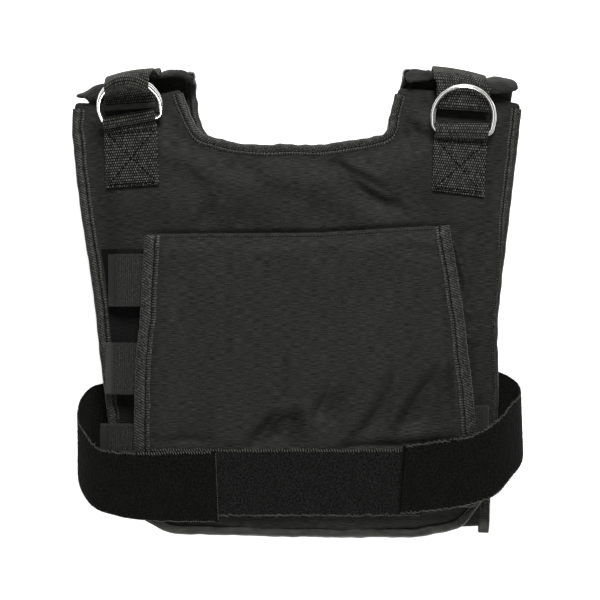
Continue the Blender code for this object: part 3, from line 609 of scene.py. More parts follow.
def crease(x, y, folds):
    # Each fold drops steeply from a soft crest on its upper left to a valley that rises slowly again
    total = np.zeros_like(x)
    for path, width, depth, ridge in folds:
        path = np.array(path, float)
        if (path[-1] - path[0]).sum() < 0:
            path = path[::-1]
        sides = np.diff(path, axis=0)
        lengths = np.linalg.norm(sides, axis=1)
        starts = running(lengths)
        best, place, left = np.full(x.shape, 1e9), np.zeros_like(x), np.zeros_like(x)
        for (x0, y0), (dx, dy), length, start in zip(path, sides, lengths, starts):
            t = np.clip(((x - x0) * dx + (y - y0) * dy) / length ** 2, 0.0, 1.0)
            px, py = x - x0 - t * dx, y - y0 - t * dy
            off = np.hypot(px, py)
            nearer = off < best
            best = np.where(nearer, off, best)
            place = np.where(nearer, (start + t * length) / starts[-1], place)
            left = np.where(nearer, py * dx - px * dy, left)
        fade = 0.25 + 0.75 * np.sin(math.pi * place) ** 0.8
        side = np.where(left > 0, best, -best) / width
        total -= depth * fade * np.exp(-((side / np.where(side > 0, 1.0, 2.4)) ** 2))
        total += ridge * fade * np.exp(-(((side - 1.6) / np.where(side > 1.6, 4.0, 1.0)) ** 2))
    return total


def wandering(line, amount, seed):
    # An outline that isn't drawn with a ruler
    return line + inwardFrom(line) * amount * ripples(line[:, 0], line[:, 1], 75.0, seed)[:, None]


frontLine = wandering(roundedLine(frontPanel["corners"], 2.4), frontPanel["wander"], 61)


def frontMiddle(x, y):
    drop = frontPanel["hemDrop"] * ease((frontPanel["hemDropFrom"] - y) / frontPanel["hemDropFade"])
    return frontPanel["middle"] - frontPanel["camber"] * (np.abs(x) / 200.0) ** 2.5 - drop


def nearHem(y):
    return ease((frontPanel["hemFrom"] - y) / frontPanel["hemFade"])


def frontSwell(distance):
    plump = ease((distance - frontPanel["flat"]) / frontPanel["swell"])
    return frontPanel["edge"] + (frontPanel["full"] - frontPanel["edge"]) * plump


def frontTop(x, y, distance, place):
    inner = distance + frontPanel["hemSwell"] * nearHem(y)
    plump = ease((inner - frontPanel["flat"]) / 8.0)
    pitch = frontPanel["puckerPitch"]
    gather = np.sin(2 * math.pi * place / pitch + 1.6 * np.sin(place / (2 * pitch)))
    gather = gather * ripples(place, place * 0, 60, 3)
    near = np.exp(-(((distance - frontPanel["flat"]) / 9.0) ** 2)) * plump
    return (frontMiddle(x, y) + frontSwell(inner) / 2 * rounding(distance)
            + crease(x, y, frontPanel["folds"]) * plump
            + frontPanel["puckers"] * gather * near
            + frontPanel["drift"] * ripples(x, y, 70.0, 11) * plump)


def frontBottom(x, y, distance, place):
    return frontMiddle(x, y) - frontSwell(distance) / 2 * rounding(distance)


_, frontPoints, frontFaces = paddedPiece(
    "frontPanel", frontLine, frontPanel["spacing"], frontBottom, frontTop, "front_panel")
frontTree = BVHTree.FromPolygons([Vector(p) for p in frontPoints], frontFaces.tolist())


def topOfFront(x, y, reach=6.0):
    # The highest point of the front panel in a small patch around x, y
    spots = [(x + dx, y + dy, 200.0) for dx in (-reach, 0.0, reach) for dy in (-reach, 0.0, reach)]
    hits = [frontTree.ray_cast(Vector(spot), Vector((0.0, 0.0, -1.0)))[0] for spot in spots]
    heights = [hit.z for hit in hits if hit]
    return max(heights) if heights else float(frontMiddle(x, y)) + frontPanel["edge"] / 2


# Back panel: its tongues fold up and over at the shoulders
backPanel = {
    "corners": (
        (-212.5, 213, 3), (-181, 223, 20), (-150, 233, 40), (-101, 237, 4),
        (-101.5, 200, 20), (-98.5, 177, 30), (-92.5, 158, 14), (-64, 148, 40), (-40, 146, 60),
        (10, 146, 60), (62, 151, 50), (83, 157, 14), (88.5, 178, 30),
        (99.5, 210, 40), (99.5, 248, 4), (120, 246, 10), (130, 240, 12),
        (170, 236, 12), (181, 239, 10), (205, 235, 5), (203, 190, 40),
        (200, 150, 60), (192, 80, 100), (185, 27, 60), (182, -16, 60),
        (181, -110, 60), (179.8, -216, 4), (120, -218, 60), (0, -217, 0),
        (-110, -214, 40), (-150, -203, 30), (-168, -182, 30), (-176, -130, 60),
        (-183, -62, 60), (-191, 27, 60), (-201, 84, 80), (-206, 150, 60), (-201, 190, 10),
    ),
    "edgeMiddle": 7.2, "edge": 4.0, "full": 12.0, "flat": 11.0, "swell": 28.0, "recess": 3.0,
    "tongue": 8.0, "tongueFrom": 150.0, "tongueFade": 30.0,        # the tongues are thinner
    "curlOuter": 22.0, "curlNeutral": 18.0, "curlFrom": 110.0,
    "beltMiddle": -104.0, "beltSlope": 0.05, "beltWidth": 65.0, "beltPress": 21.0,
    "strapTail": 105.0, "strapWidth": 50.0, "strapPress": 20.0, "pressFade": 14.0,
    "riseFrom": 120.0, "riseFade": 24.0,           # from here on it is as high as where it is pressed
    "spacing": 3.4, "drift": 0.35, "wander": 0.4,
    "puff": 2.6, "crumple": 0.9,                   # how the tongues stand out beside the straps
    "bunch": 3.4, "bunchFrom": 178.0, "bunchTo": 188.0,            # and more at the left one's outer side
}
# strap: x of the strap; curl: y that the fold reaches there; bar: middle of the ring bars
shoulders = {
    "left": {"strap": -157.5, "curl": 218.6, "fall": 0.0031, "reach": 80.0, "neck": 2.0, "tip": 0.05,
             "bar": (-158.0, 167.0), "turn": 3.5},
    "right": {"strap": 150.5, "curl": 219.4, "fall": 0.0023, "reach": 66.0, "neck": 0.0, "tip": 0.0,
              "bar": (150.9, 157.1), "turn": -4.0},
}
backLine = wandering(roundedLine(backPanel["corners"], 2.4), backPanel["wander"], 62)


def curlStart(x):
    x = np.asarray(x, float)
    out = np.abs(x) - backPanel["curlFrom"]
    starts = [s["curl"] - backPanel["curlOuter"] - s["fall"] * np.minimum(out, s["reach"]) ** 2
              - s["neck"] * ease((6.0 - out) / 12.0) - s["tip"] * np.maximum(out - 80.0, 0.0)
              for s in (shoulders["left"], shoulders["right"])]
    return np.where(x < 0, starts[0], starts[1])


def curl(points):
    # Folds whatever lies beyond the shoulder line up and over, towards the front
    x, y, z = points[..., 0], points[..., 1], points[..., 2]
    start = curlStart(x)
    angle = np.maximum(y - start, 0.0) / backPanel["curlNeutral"]
    centre = backPanel["recess"] + backPanel["curlOuter"]
    radius = centre - z
    folded = np.stack([x, start + radius * np.sin(angle), centre - radius * np.cos(angle)], -1)
    return np.where((y > start)[..., None], folded, points)


def pressed(x, y):
    # 1 where the belt or a strap lies under the back panel, or where it bends up
    belt = np.abs(y - backPanel["beltMiddle"] - backPanel["beltSlope"] * x) - backPanel["beltWidth"] / 2
    amount = 1.0 - ease((belt - backPanel["beltPress"]) / backPanel["pressFade"])
    for shoulder in shoulders.values():
        off = np.maximum(np.abs(x - shoulder["strap"]) - backPanel["strapWidth"] / 2,
                         backPanel["strapTail"] - y)
        under = 1.0 - ease((off - backPanel["strapPress"]) / backPanel["pressFade"])
        amount = np.maximum(amount, under)
    return np.maximum(amount, ease((y - backPanel["riseFrom"]) / backPanel["riseFade"]))


def tonguePuff(x, y, distance):
    # Beyond the shoulder line the cloth stands out on both sides of each strap
    off = np.minimum(np.abs(x - shoulders["left"]["strap"]), np.abs(x - shoulders["right"]["strap"]))
    free = ease((off - backPanel["strapWidth"] / 2 + 0.3) / 3.5) * ease((y - curlStart(x) + 6.0) / 14.0)
    # fuller towards the arms than towards the neck
    full = backPanel["puff"] * (0.3 + 0.7 * ease((np.abs(x) - 150.0) / 20.0))
    bunched = ease((-x - backPanel["bunchFrom"]) / 4.0) * (1.0 - ease((-x - backPanel["bunchTo"]) / 16.0))
    full = full + backPanel["bunch"] * bunched
    rough = backPanel["crumple"] * ripples(x, y, 21.0, 77) * ease(distance / 5.0)
    return (full * ease(distance / 9.0) + rough) * free


def backPlump(distance):
    return ease((distance - backPanel["flat"]) / backPanel["swell"])


def backBottom(x, y, distance, place):
    plump = backPlump(distance)
    middle = backPanel["edgeMiddle"]
    low = middle - (middle - (middle - backPanel["edge"] / 2) * (1.0 - plump)) * rounding(distance)
    low = np.where(distance < 2.6, middle - backPanel["edge"] / 2 * rounding(distance), low)
    low = np.maximum(low, backPanel["recess"] * pressed(x, y))
    return low - tonguePuff(x, y, distance)


def backTop(x, y, distance, place):
    plump = backPlump(distance)
    thinner = backPanel["full"] - backPanel["recess"] - backPanel["tongue"]
    full = backPanel["full"] - thinner * ease((y - backPanel["tongueFrom"]) / backPanel["tongueFade"])
    edge = backPanel["edgeMiddle"] + backPanel["edge"] / 2 * rounding(distance)
    return edge + (full - edge) * plump + backPanel["drift"] * ripples(x, y, 60.0, 5) * plump


paddedPiece("backPanel", backLine, backPanel["spacing"], backBottom, backTop, "back_panel", curl)


# Binding tapes: a ribbon folded over each raw edge and stitched down
tapes = {
    "wall": 0.9, "bulge": 1.5, "inset": 0.2, "step": 2.0, "wander": 0.25,
    # share of the tape's width from its inner edge, and height of the cloth there: hem, seam, roll
    "profile": ((0.0, -0.55), (0.12, -0.10), (0.24, -0.25), (0.34, -0.80), (0.44, -0.15), (0.60, 0.25)),
    "turn": (0.22, 0.15),                          # share still to go and height where it turns round
    # what shows of the front's outer tape on the left, how much less on the right, and at the hem
    "outer": 10.0, "lessRight": 1.5, "lessLower": 4.0, "atHem": 7.0,
    "stitch": {"pitch": 3.4, "fill": 0.60, "radius": 0.42, "lift": 0.32, "sink": 0.10, "stray": 0.4},
}
tapeStitches = []


def tapePiece(node, path, middle, half, cover, bend=None, seed=1, crinkle=0.16):
    path = evenSteps(path, tapes["step"])
    tangent = np.gradient(path, axis=0)
    for _ in range(3):
        tangent[1:-1] = (tangent[:-2] + 2 * tangent[1:-1] + tangent[2:]) / 4
    tangent = unit(tangent)
    inward = np.stack([tangent[:, 1], -tangent[:, 0]], 1)
    place = np.arange(len(path)) * tapes["step"]
    wide = cover(path) if callable(cover) else np.full(len(path), cover)
    wide = wide + tapes["wander"] * ripples(place, place * 0, 34.0, seed)
    reach = half + gap + tapes["wall"] / 2
    lift = crinkle * ripples(place, place * 0, 8.5, seed + 1)
    lean = crinkle * ripples(place, place * 0, 13.0, seed + 2)
    share, rise = tapes["turn"]
    smooth = nearHem(path[:, 1])                                     # the bottom hem shows no seam
    order = []
    for inner, height in tapes["profile"]:
        shape = height + ((0.1 if inner > 0.1 else -0.9) - height) * smooth
        order.append((wide * (1.0 - inner), reach + shape + lift * min(1.0, inner * 3)))
    order.append((wide * share, reach + rise + lift))
    for angle in np.linspace(-math.pi / 2, math.pi / 2, 9)[::-1]:
        order.append((tapes["inset"] - (tapes["bulge"] + lean) * math.cos(angle), reach * math.sin(angle)))
    order.append((wide * share, -reach - rise - lean))
    for inner, height in tapes["profile"][::-1]:
        order.append((wide * (1.0 - inner), -reach - height - lean * min(1.0, inner * 3)))
    grid = np.empty((len(path), len(order), 3))
    for k, (depth, height) in enumerate(order):
        grid[:, k, :2] = path + inward * depth[:, None]
        grid[:, k, 2] = middle(grid[:, k, 0], grid[:, k, 1]) + height
    if bend:
        grid = bend(grid)
    seam = tapes["profile"][3][0] * wide.mean()
    cloth = clothPiece(camelName(node), grid, tapes["wall"], binding,
                       node, thinEdge=0.7, fromEdges=tapeLook["seam"] / seam)
    outward = 1.0 if cloth["normals"][len(path) // 2, 5, 2] > 0 or bend else -1.0
    v = np.arange(1.5, cloth["v"][-1] - 1.5, 1.2)
    for column in (seam, cloth["u"][-1] - seam):
        points, out = onCloth(cloth, np.full(len(v), column), v, outward)
        hidden = points[:, 1] < frontPanel["hemFrom"]
        ends = np.flatnonzero(np.diff(hidden.astype(int))) + 1
        for part in np.split(np.arange(len(v)), ends):
            if len(part) > 3 and not hidden[part[0]]:
                tapeStitches.append((points[part], out[part], tapes["stitch"]))


def backMiddle(x, y):
    return np.full(np.shape(x), backPanel["edgeMiddle"])


def edgeCover(points):
    # The tape shows less of itself on the right, and along the bottom where the panel turns under
    x, y = points[:, 0], points[:, 1]
    right = ease(x / 60.0)
    side = tapes["outer"] - tapes["lessLower"] * right * ease((80.0 - y) / 50.0) - tapes["lessRight"] * right
    low = ease((-y - 190.0) / 22.0)
    return side * (1.0 - low) + tapes["atHem"] * low


edgeHalf = frontPanel["edge"] / 2
tapePiece("front_neck_tape", stretchOf(frontLine, (-111.5, 196), (92.5, 195), 2, 2),
          frontMiddle, edgeHalf, cover=8.5, seed=21, crinkle=0.30)
tapePiece("front_edge_tape", stretchOf(frontLine, (207.4, 180), (-213.5, 180)),
          frontMiddle, edgeHalf, cover=edgeCover, seed=22)
tapePiece("back_neck_tape", stretchOf(backLine, (-101.5, 233), (98, 240), 3, 6),
          backMiddle, edgeHalf + gap, cover=8.0, bend=curl, seed=23, crinkle=0.28)
tapePiece("back_right_tape", stretchOf(backLine, (201, 168), (180, -212), 2, 0, 0, 10.0),
          backMiddle, edgeHalf + gap, cover=8.5, bend=curl, seed=24)
tapePiece("back_left_tape", stretchOf(backLine, (-150, -203), (-206, 166), 2, 2),
          backMiddle, edgeHalf + gap, cover=8.5, bend=curl, seed=25)
print("vest: panel tapes made")


# Weight pouch and its flap
weightPouch = {
    "corners": ((-133, 55, 10), (130, 60, 10), (151, -80, 80), (154, -186, 12),
                (-145, -188, 12), (-143, -80, 80)),
    "thickness": 16.0, "rim": 3.0, "rise": 22.0, "spacing": 3.6, "clear": 0.8,
    "below": 1.8, "least": 0.8,                    # room under the flap's folds, and the least thickness
}
pouchFlap = {
    "corners": (
        (-142.3, 61.5, 3), (18, 62.5, 60), (90, 67, 60), (136.6, 69, 5),
        (144.3, 25, 60), (148.7, -3, 60), (152.9, -40, 60), (158.4, -84, 60), (161.4, -118, 60),
        (163.4, -150, 40), (164, -192, 5), (-152, -194, 5), (-151.9, -105, 60), (-150.8, -62, 40),
        (-149.2, -40, 40), (-146.9, -19, 60), (-144.3, 25, 60),
    ),
    "height": 55.4, "thickness": 2.0, "droop": 3.0, "droopWidth": 20.0, "hem": 12.0,
    "spacing": 2.4, "wander": 0.12, "drift": 0.5,
    "gather": 0.25, "gatherAt": 13.0, "gatherWidth": 7.0,          # small puckers beside the hem
    # the belt holds it down below this y, and bridges its dips from this x to the right
    "heldBelow": -136.0, "bridge": 7.0, "bridgeFrom": -62.0, "bridgeFade": 15.0,
    # points along each fold, half width, depth of the valley, height of the ridge on its left
    "folds": (
        (((141, -58), (130, -67), (120, -82), (109, -101), (97, -118), (88, -130)), 10.0, 14.5, 2.4),
        (((95, -64), (86, -82), (75, -101), (62, -118), (50, -129)), 8.6, 13.0, 1.6),
        (((32, -76), (25, -88), (19, -99), (12, -110)), 5.0, 7.5, 1.4),
        (((-2, -98), (-20, -107), (-32, -119), (-44, -134)), 8.5, 10.0, 0.0),
        (((4, -103), (-8, -112), (-17, -122), (-28, -134)), 8.0, 8.0, 0.0),
        (((146, -131), (128, -134.5), (108, -137), (75, -139), (40, -140)), 7.0, 8.5, 0.0),
        (((84, 58), (108, 50), (133, 39)), 3.6, 1.8, 1.2),
        (((20, 56), (26, 42), (30, 24)), 7.0, 1.0, 0.6),
        (((-138, -133), (-110, -131), (-76, -133)), 5.0, 1.8, 0.0),
        (((60, -58), (44, -78), (36, -92)), 6.0, 1.0, 0.8),
    ),
    "sink": 13.0,                                  # no fold goes deeper than this
}
pouchLine = roundedLine(weightPouch["corners"], 3.0)
flapLine = wandering(roundedLine(pouchFlap["corners"], 2.4), pouchFlap["wander"], 63)


def pouchBottom(x, y, distance, place):
    return frontMiddle(x, y) + frontPanel["full"] / 2 + weightPouch["clear"]


def pouchTop(x, y, distance, place):
    rise = ease(distance / weightPouch["rise"])
    base = frontMiddle(x, y) + frontPanel["full"] / 2 + weightPouch["rim"]
    top = base + (weightPouch["thickness"] - weightPouch["rim"]) * rise
    under = flapBottom(x, y, *lineInfo(flapLine, x, y))              # it gives way to the flap's folds
    top = np.minimum(top, under - weightPouch["below"])
    return np.maximum(top, pouchBottom(x, y, distance, place) + weightPouch["least"])


def flapLevel(distance):
    droop = pouchFlap["droop"] * (1.0 - ease(distance / pouchFlap["droopWidth"]))
    return pouchFlap["height"] - droop


def flapBottom(x, y, distance, place):
    held = pouchFlap["heldBelow"]
    held = held - pouchFlap["bridge"] * ease((x - pouchFlap["bridgeFrom"]) / pouchFlap["bridgeFade"])
    free = ease((distance - pouchFlap["hem"]) / 8.0) * ease((y - held) / 8.0)
    folds = crease(x, y, pouchFlap["folds"]) * free
    gather = pouchFlap["gather"] * np.sin(place / 2.1 + np.sin(place / 9.0))
    gather = gather * np.exp(-((distance - pouchFlap["gatherAt"]) / pouchFlap["gatherWidth"]) ** 2)
    soft = pouchFlap["drift"] * ripples(x, y, 55.0, 17) * free
    return flapLevel(distance) + np.maximum(folds + soft, -pouchFlap["sink"]) + gather * free


def flapTop(x, y, distance, place):
    return flapBottom(x, y, distance, place) + pouchFlap["thickness"] * rounding(distance, 1.6)


def flapMiddle(x, y):
    return flapLevel(lineInfo(flapLine, x, y)[0]) + pouchFlap["thickness"] / 2


paddedPiece("weightPouch", pouchLine, weightPouch["spacing"], pouchBottom, pouchTop, "weight_pouch")
flap, _, _ = paddedPiece("pouchFlap", flapLine, pouchFlap["spacing"], flapBottom, flapTop, "pouch_flap")
flapHalf = pouchFlap["thickness"] / 2 + gap
tapePiece("flap_right_tape", stretchOf(flapLine, (137, 64), (164, -188), 8, 7, 12.5),
          flapMiddle, flapHalf, cover=12.0, seed=31)
tapePiece("flap_left_tape", stretchOf(flapLine, (-152, -190), (-142.6, 57), 7, 6, 0, 10.0),
          flapMiddle, flapHalf, cover=13.0, seed=32)

# The pouch's side wall, bunched up beside the flap
pouchGusset = {
    "corners": (
        (128, 62, 3), (145, 61, 5), (153, 44, 8), (163, 20, 10), (161, 4, 8), (157, -6, 4), (164, -12, 6),
        (174, -30, 8), (176, -48, 6), (168, -56, 6), (160, -92, 4), (146, -92, 4)),
    "spacing": 1.5, "below": 0.9, "depth": 3.5, "crumple": 0.25,
    "ridges": (
        (((144.0, 57), (149.4, 38), (156.0, 16), (150.5, -5)), 3.0, -4.6, 1.7),
        (((156, -9), (163, -13), (169, -19)), 2.6, -2.6, 0.0),
        (((156, -32), (163, -37.5), (170, -42.5)), 2.0, -3.4, 0.0),
        (((158, -46), (160, -60), (160, -84)), 2.4, -2.6, 0.0)),
}
gussetLine = roundedLine(pouchGusset["corners"], 1.4)


def gussetBottom(x, y, distance, place):
    return frontMiddle(x, y) + frontPanel["full"] / 2 - pouchGusset["depth"]


def gussetTop(x, y, distance, place):
    panel = frontTop(x, y, *lineInfo(frontLine, x, y))
    ridges = crease(x, y, pouchGusset["ridges"]) + pouchGusset["crumple"] * ripples(x, y, 8.0, 91)
    return panel - pouchGusset["below"] + ridges * ease(distance / 3.0)


paddedPiece("pouchGusset", gussetLine, pouchGusset["spacing"], gussetBottom, gussetTop)


# Elastic side loops, and a ribbed elastic strip behind the left ones, much darker than they are: painted
# shade between the loops
sideLoops = {
    "thickness": 1.5, "along": 0.8, "across": 1.3, "lean": 9.5,
    "tapeWall": 1.0, "tapeReach": 16.0, "tapeFade": 5.0,           # they climb onto the panel's tape
    "sag": 0.5, "flare": 0.7,                      # the upper layer rises a little, the mouths stand open
    "rib": 2.0, "relief": 0.06,
    "stripWall": 0.8, "stripRelief": 0.12, "stripRib": 5.2, "stripInner": -138.0,
    "stripOuter": ((-166, -62, 27, 48), (-168.5, -174.5, -184, -187.5)),     # y, and x there
    # node, outermost x, innermost x, upper y, lower y, height
    "rows": (("side_loop_top", -180.5, -143, 43, -6, 9.5), ("side_loop_middle", -183, -147, -40, -88, 10.0),
             ("side_loop_low", -188, -149, -116, -164, 11.0), ("side_loop_right", 178, 156, -99, -149, 9.0)),
}


def elasticSeat(x, y):
    margin, _ = lineInfo(frontLine, np.array([x]), np.array([y]))
    near = float(ease((sideLoops["tapeReach"] - margin[0]) / sideLoops["tapeFade"]))
    overTape = (gap + sideLoops["tapeWall"]) * near
    strip = sideLoops["stripWall"] + gap if x < 0 else 0.0
    return topOfFront(x, y, 4.0) + gap + sideLoops["thickness"] / 2 + overTape + strip


def loopRelief(u, v, width, length):
    return sideLoops["relief"] * np.sin(2 * math.pi * v / sideLoops["rib"])


def stripRelief(u, v, width, length):
    return sideLoops["stripRelief"] * np.cos(2 * math.pi * u / sideLoops["stripRib"])


def makeSideLoop(node, outer, inner, top, bottom, height):
    side = -1.0 if outer < 0 else 1.0
    knee = outer - side * sideLoops["lean"]
    path = [(inner + (knee - inner) * k / 3, 0.0) for k in range(4)]
    for k in range(1, 12):
        angle = math.pi * k / 12
        share = (1 - math.cos(angle)) / 2
        lean = sideLoops["lean"] * (1.0 - share) ** 0.8 * min(1.0, share / 0.15) ** 0.5
        path.append((knee + side * lean, height * share))
    path += [(knee + (inner - knee) * k / 3, height + sideLoops["sag"] * math.sin(math.pi * k / 3))
             for k in range(4)]
    rows = []
    for x, rise in path:
        seatX = max(x, knee) if side < 0 else min(x, knee)
        row = []
        for k in range(7):
            share = k / 6
            y = top + (bottom - top) * share
            flare = sideLoops["flare"] * abs(2 * share - 1) ** 3 * rise / height
            row.append((x, y, elasticSeat(seatX, y) + rise + flare))
        rows.append(row)
    grid = denseGrid(rows, sideLoops["along"], sideLoops["across"])
    clothPiece(camelName("elastic_" + node), grid, sideLoops["thickness"], elastic,
               node, loopRelief)


for row in sideLoops["rows"]:
    makeSideLoop(*row)
rows = []
for y in np.linspace(48, -166, 44):
    edge = np.interp(y, *sideLoops["stripOuter"])
    rows.append([(x, y, topOfFront(x, y, 3.0) + gap / 2 + sideLoops["stripWall"] / 2)
                 for x in np.linspace(edge, sideLoops["stripInner"], 9)])
clothPiece("loopStrip", denseGrid(rows, 1.6, 1.6), sideLoops["stripWall"], shadedElastic,
           relief=stripRelief)
print("vest: elastic loops made")


# Rings, their sewn tabs and the shoulder straps
ringSizes = {
    "wire": 3.6, "radius": 28.6, "leg": 14.0, "barHalf": 27.8, "corner": 6.5, "spacing": 3.9, "sides": 20,
    # ring node, side, which of the pair, tilt, slip sideways and outwards, twist
    "rings": (("ring_left_upper", "left", 1, 40.0, 1.6, 1.8, 4.0),
              ("ring_left_lower", "left", -1, 40.0, 1.6, 1.8, 4.0),
              ("ring_right_upper", "right", 1, 12.0, 0.0, 0.0, 0.0),
              ("ring_right_lower", "right", -1, 1.0, 1.2, 0.0, -2.2)),
}
webbingSizes = {"width": 50.0, "thickness": 2.2, "along": 0.6, "across": 1.1, "row": 2.1, "relief": 0.16}


def barHeight(shoulder):
    base = topOfFront(*shoulder["bar"])
    return base + gap + webbingSizes["thickness"] + gap + ringSizes["spacing"] / 2 + ringSizes["wire"] / 2


def fromUnit(shoulder, x, y, z):
    # From the ring unit's own place, bars along x, to the vest
    turn = math.radians(shoulder["turn"])
    return np.array((shoulder["bar"][0] + x * math.cos(turn) - y * math.sin(turn),
                     shoulder["bar"][1] + x * math.sin(turn) + y * math.cos(turn), z))


for shoulder in shoulders.values():
    shoulder["height"] = barHeight(shoulder)


def ringLine():
    # Bar, rounded corners, legs and half a circle
    s = ringSizes
    corner = [(s["barHalf"] - s["corner"] + s["corner"] * math.sin(a), s["corner"] * (1 - math.cos(a)))
              for a in np.linspace(0, math.pi / 2, 8)]
    arc = [(s["radius"] * math.cos(a), s["leg"] + s["radius"] * math.sin(a))
           for a in np.linspace(0, math.pi, 60)]
    mirrored = [(-x, y) for x, y in corner[::-1]]
    return evenSteps(np.array(corner + arc + mirrored), 1.2, closed=True)


def makeRing(node, side, level, tilt, slip, out, twist):
    shoulder = shoulders[side]
    line = ringLine()
    lean, spin = math.radians(tilt), math.radians(twist)
    rise = level * ringSizes["spacing"] / 2
    x, y = line[:, 0], line[:, 1] * math.cos(lean) - rise * math.sin(lean)
    local = np.stack([x * math.cos(spin) - y * math.sin(spin) + slip,
                      x * math.sin(spin) + y * math.cos(spin) + out,
                      line[:, 1] * math.sin(lean) + rise * math.cos(lean)], 1)
    middle = np.array([fromUnit(shoulder, px, py, shoulder["height"] + pz) for px, py, pz in local])
    ahead = unit(np.roll(middle, -1, 0) - np.roll(middle, 1, 0))
    plane = unit(np.cross(middle[10] - middle.mean(0), middle[40] - middle.mean(0)))
    across = np.cross(ahead, plane)
    spins = np.arange(ringSizes["sides"]) * 2 * math.pi / ringSizes["sides"]
    tube = middle[:, None] + ringSizes["wire"] / 2 * (across[:, None] * np.cos(spins)[None, :, None]
                                                      + plane * np.sin(spins)[None, :, None])
    count, sides = tube.shape[:2]
    index = np.arange(count * sides).reshape(count, sides)
    ahead, over = np.roll(index, -1, 0), np.roll(index, -1, 1)
    faces = np.stack([index, ahead, np.roll(ahead, -1, 1), over], -1).reshape(-1, 4)
    points = tube.reshape(-1, 3)
    ring = makeMesh(camelName("steel_" + node), points, facingOut(points, faces), points[:, :2],
                    steel, 80.0)
    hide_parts(node)


for row in ringSizes["rings"]:
    makeRing(*row)


def webbingRelief(u, v, width, length):
    # Rows of thread across the webbing, and a firmer selvedge on both edges
    rows = np.cos(2 * math.pi * v / webbingSizes["row"])
    edge = np.exp(-((np.minimum(u, width - u) / 1.6) ** 2))
    return webbingSizes["relief"] * rows * (1.0 - 0.6 * edge) + 0.12 * edge


ringTabs = {
    # skew: how far the loop leans round the bars; straight: how far the tab turns back below them;
    # reach: middle and half length of the loop round both bars
    "left": {"node": "ring_tab_left", "length": 60.8, "ends": 0.0, "skew": 0.12, "straight": -0.03,
             "slide": -1.2, "boxTop": 9.8, "reach": (2.6, 4.4)},
    "right": {"node": "ring_tab_right", "length": 57.5, "ends": -2.0, "skew": 0.05, "straight": 0.03,
              "slide": 0.0, "boxTop": 9.4, "reach": (1.5, 6.4)},
    # box of stitches: in from the sides and the end, and how far it sinks in
    "boxIn": 2.5, "boxEnd": 3.2, "boxDouble": 1.6, "groove": 0.40, "grooveWidth": 0.9,
    # y from the bars of the layer below, of the one folded over it, and where that comes down again
    "below": (-30.0, -18.0, -6.0), "above": (-12.5, -26.0), "down": -36.0, "wrap": 276,
    "stitch": {"pitch": 3.6, "fill": 0.74, "radius": 0.58, "lift": 0.44, "sink": 0.56, "stray": 0.5},
}
tabStitches = []


def makeTab(side):
    shoulder, tab = shoulders[side], ringTabs[side]
    centre = shoulder["height"]
    thickness = webbingSizes["thickness"]
    radius = ringSizes["spacing"] / 2 + ringSizes["wire"] / 2 + gap + thickness / 2
    low = gap + thickness / 2
    upper = low + thickness + gap
    path = [(y, low, 1) for y in ringTabs["below"]]
    for k in range(14):
        angle = -math.pi / 2 + math.radians(ringTabs["wrap"]) * k / 13
        path.append((tab["reach"][0] + tab["reach"][1] * math.cos(angle), radius * math.sin(angle), 0))
    end = tab["reach"][0] - tab["reach"][1]
    path += [(end - 0.3, upper - 0.2, 1), (end - 2.6, upper, 1), *((y, upper, 1) for y in ringTabs["above"]),
             (ringTabs["down"], low + 1.2, 1), (-tab["length"] * 0.8, low, 1), (-tab["length"], low, 1)]
    rows = []
    for y, height, lying in path:
        row = []
        for k in range(5):
            x = webbingSizes["width"] * (k / 4 - 0.5) * (0.99 if y > -12 else 1.0)
            spread = tab["ends"] * x / webbingSizes["width"] * min(1.0, -y / tab["length"])
            looped = float(ease((y + 15.0) / 12.0)) * float(ease((y + 22.0 - height) / 14.0))
            spread += tab["skew"] * x * looped
            straighten = -tab["straight"] * min(0.0, y + 10.0)
            spot = fromUnit(shoulder, x + straighten + tab["slide"], y + spread, 0.0)
            spot[2] = topOfFront(spot[0], spot[1], 4.0) + height if lying else centre + height
            row.append(spot)
        rows.append(row)
    grid = denseGrid(rows, webbingSizes["along"], webbingSizes["across"])

    def boxLines(wide, total):
        # a box and its two diagonals, sewn on the upper face
        start, end = total - tab["length"] + tab["boxTop"], total - ringTabs["boxEnd"]
        left, right = ringTabs["boxIn"], wide - ringTabs["boxIn"]
        return (((left, start), (right, start)), ((right, start), (right, end)), ((right, end), (left, end)),
                ((left, end), (left, start)), ((left, start), (right, end)), ((right, start), (left, end)),
                ((left, end + ringTabs["boxDouble"]), (right, end + ringTabs["boxDouble"])))

    def relief(u, v, wide, total):
        best = np.full(u.shape, 9.0)
        for (u0, v0), (u1, v1) in boxLines(wide, total):
            du, dv = u1 - u0, v1 - v0
            t = np.clip(((u - u0) * du + (v - v0) * dv) / (du * du + dv * dv), 0.0, 1.0)
            best = np.minimum(best, np.hypot(u - u0 - t * du, v - v0 - t * dv))
        sunk = ringTabs["groove"] * np.exp(-((best / ringTabs["grooveWidth"]) ** 2))
        return webbingRelief(u, v, wide, total) - sunk

    cloth = clothPiece(camelName("webbing_tab_" + side), grid, thickness, webbing,
                       tab["node"], relief)
    lines, t = boxLines(cloth["u"][-1], cloth["v"][-1]), np.linspace(0.0, 1.0, 60)
    for a, b in (lines[0], lines[2], *lines[4:]):
        points, out = onCloth(cloth, a[0] + (b[0] - a[0]) * t, a[1] + (b[1] - a[1]) * t, faceUp(cloth))
        tabStitches.append((points, out, ringTabs["stitch"]))


makeTab("left")
makeTab("right")
stitching("tabStitches", tabStitches, thread)

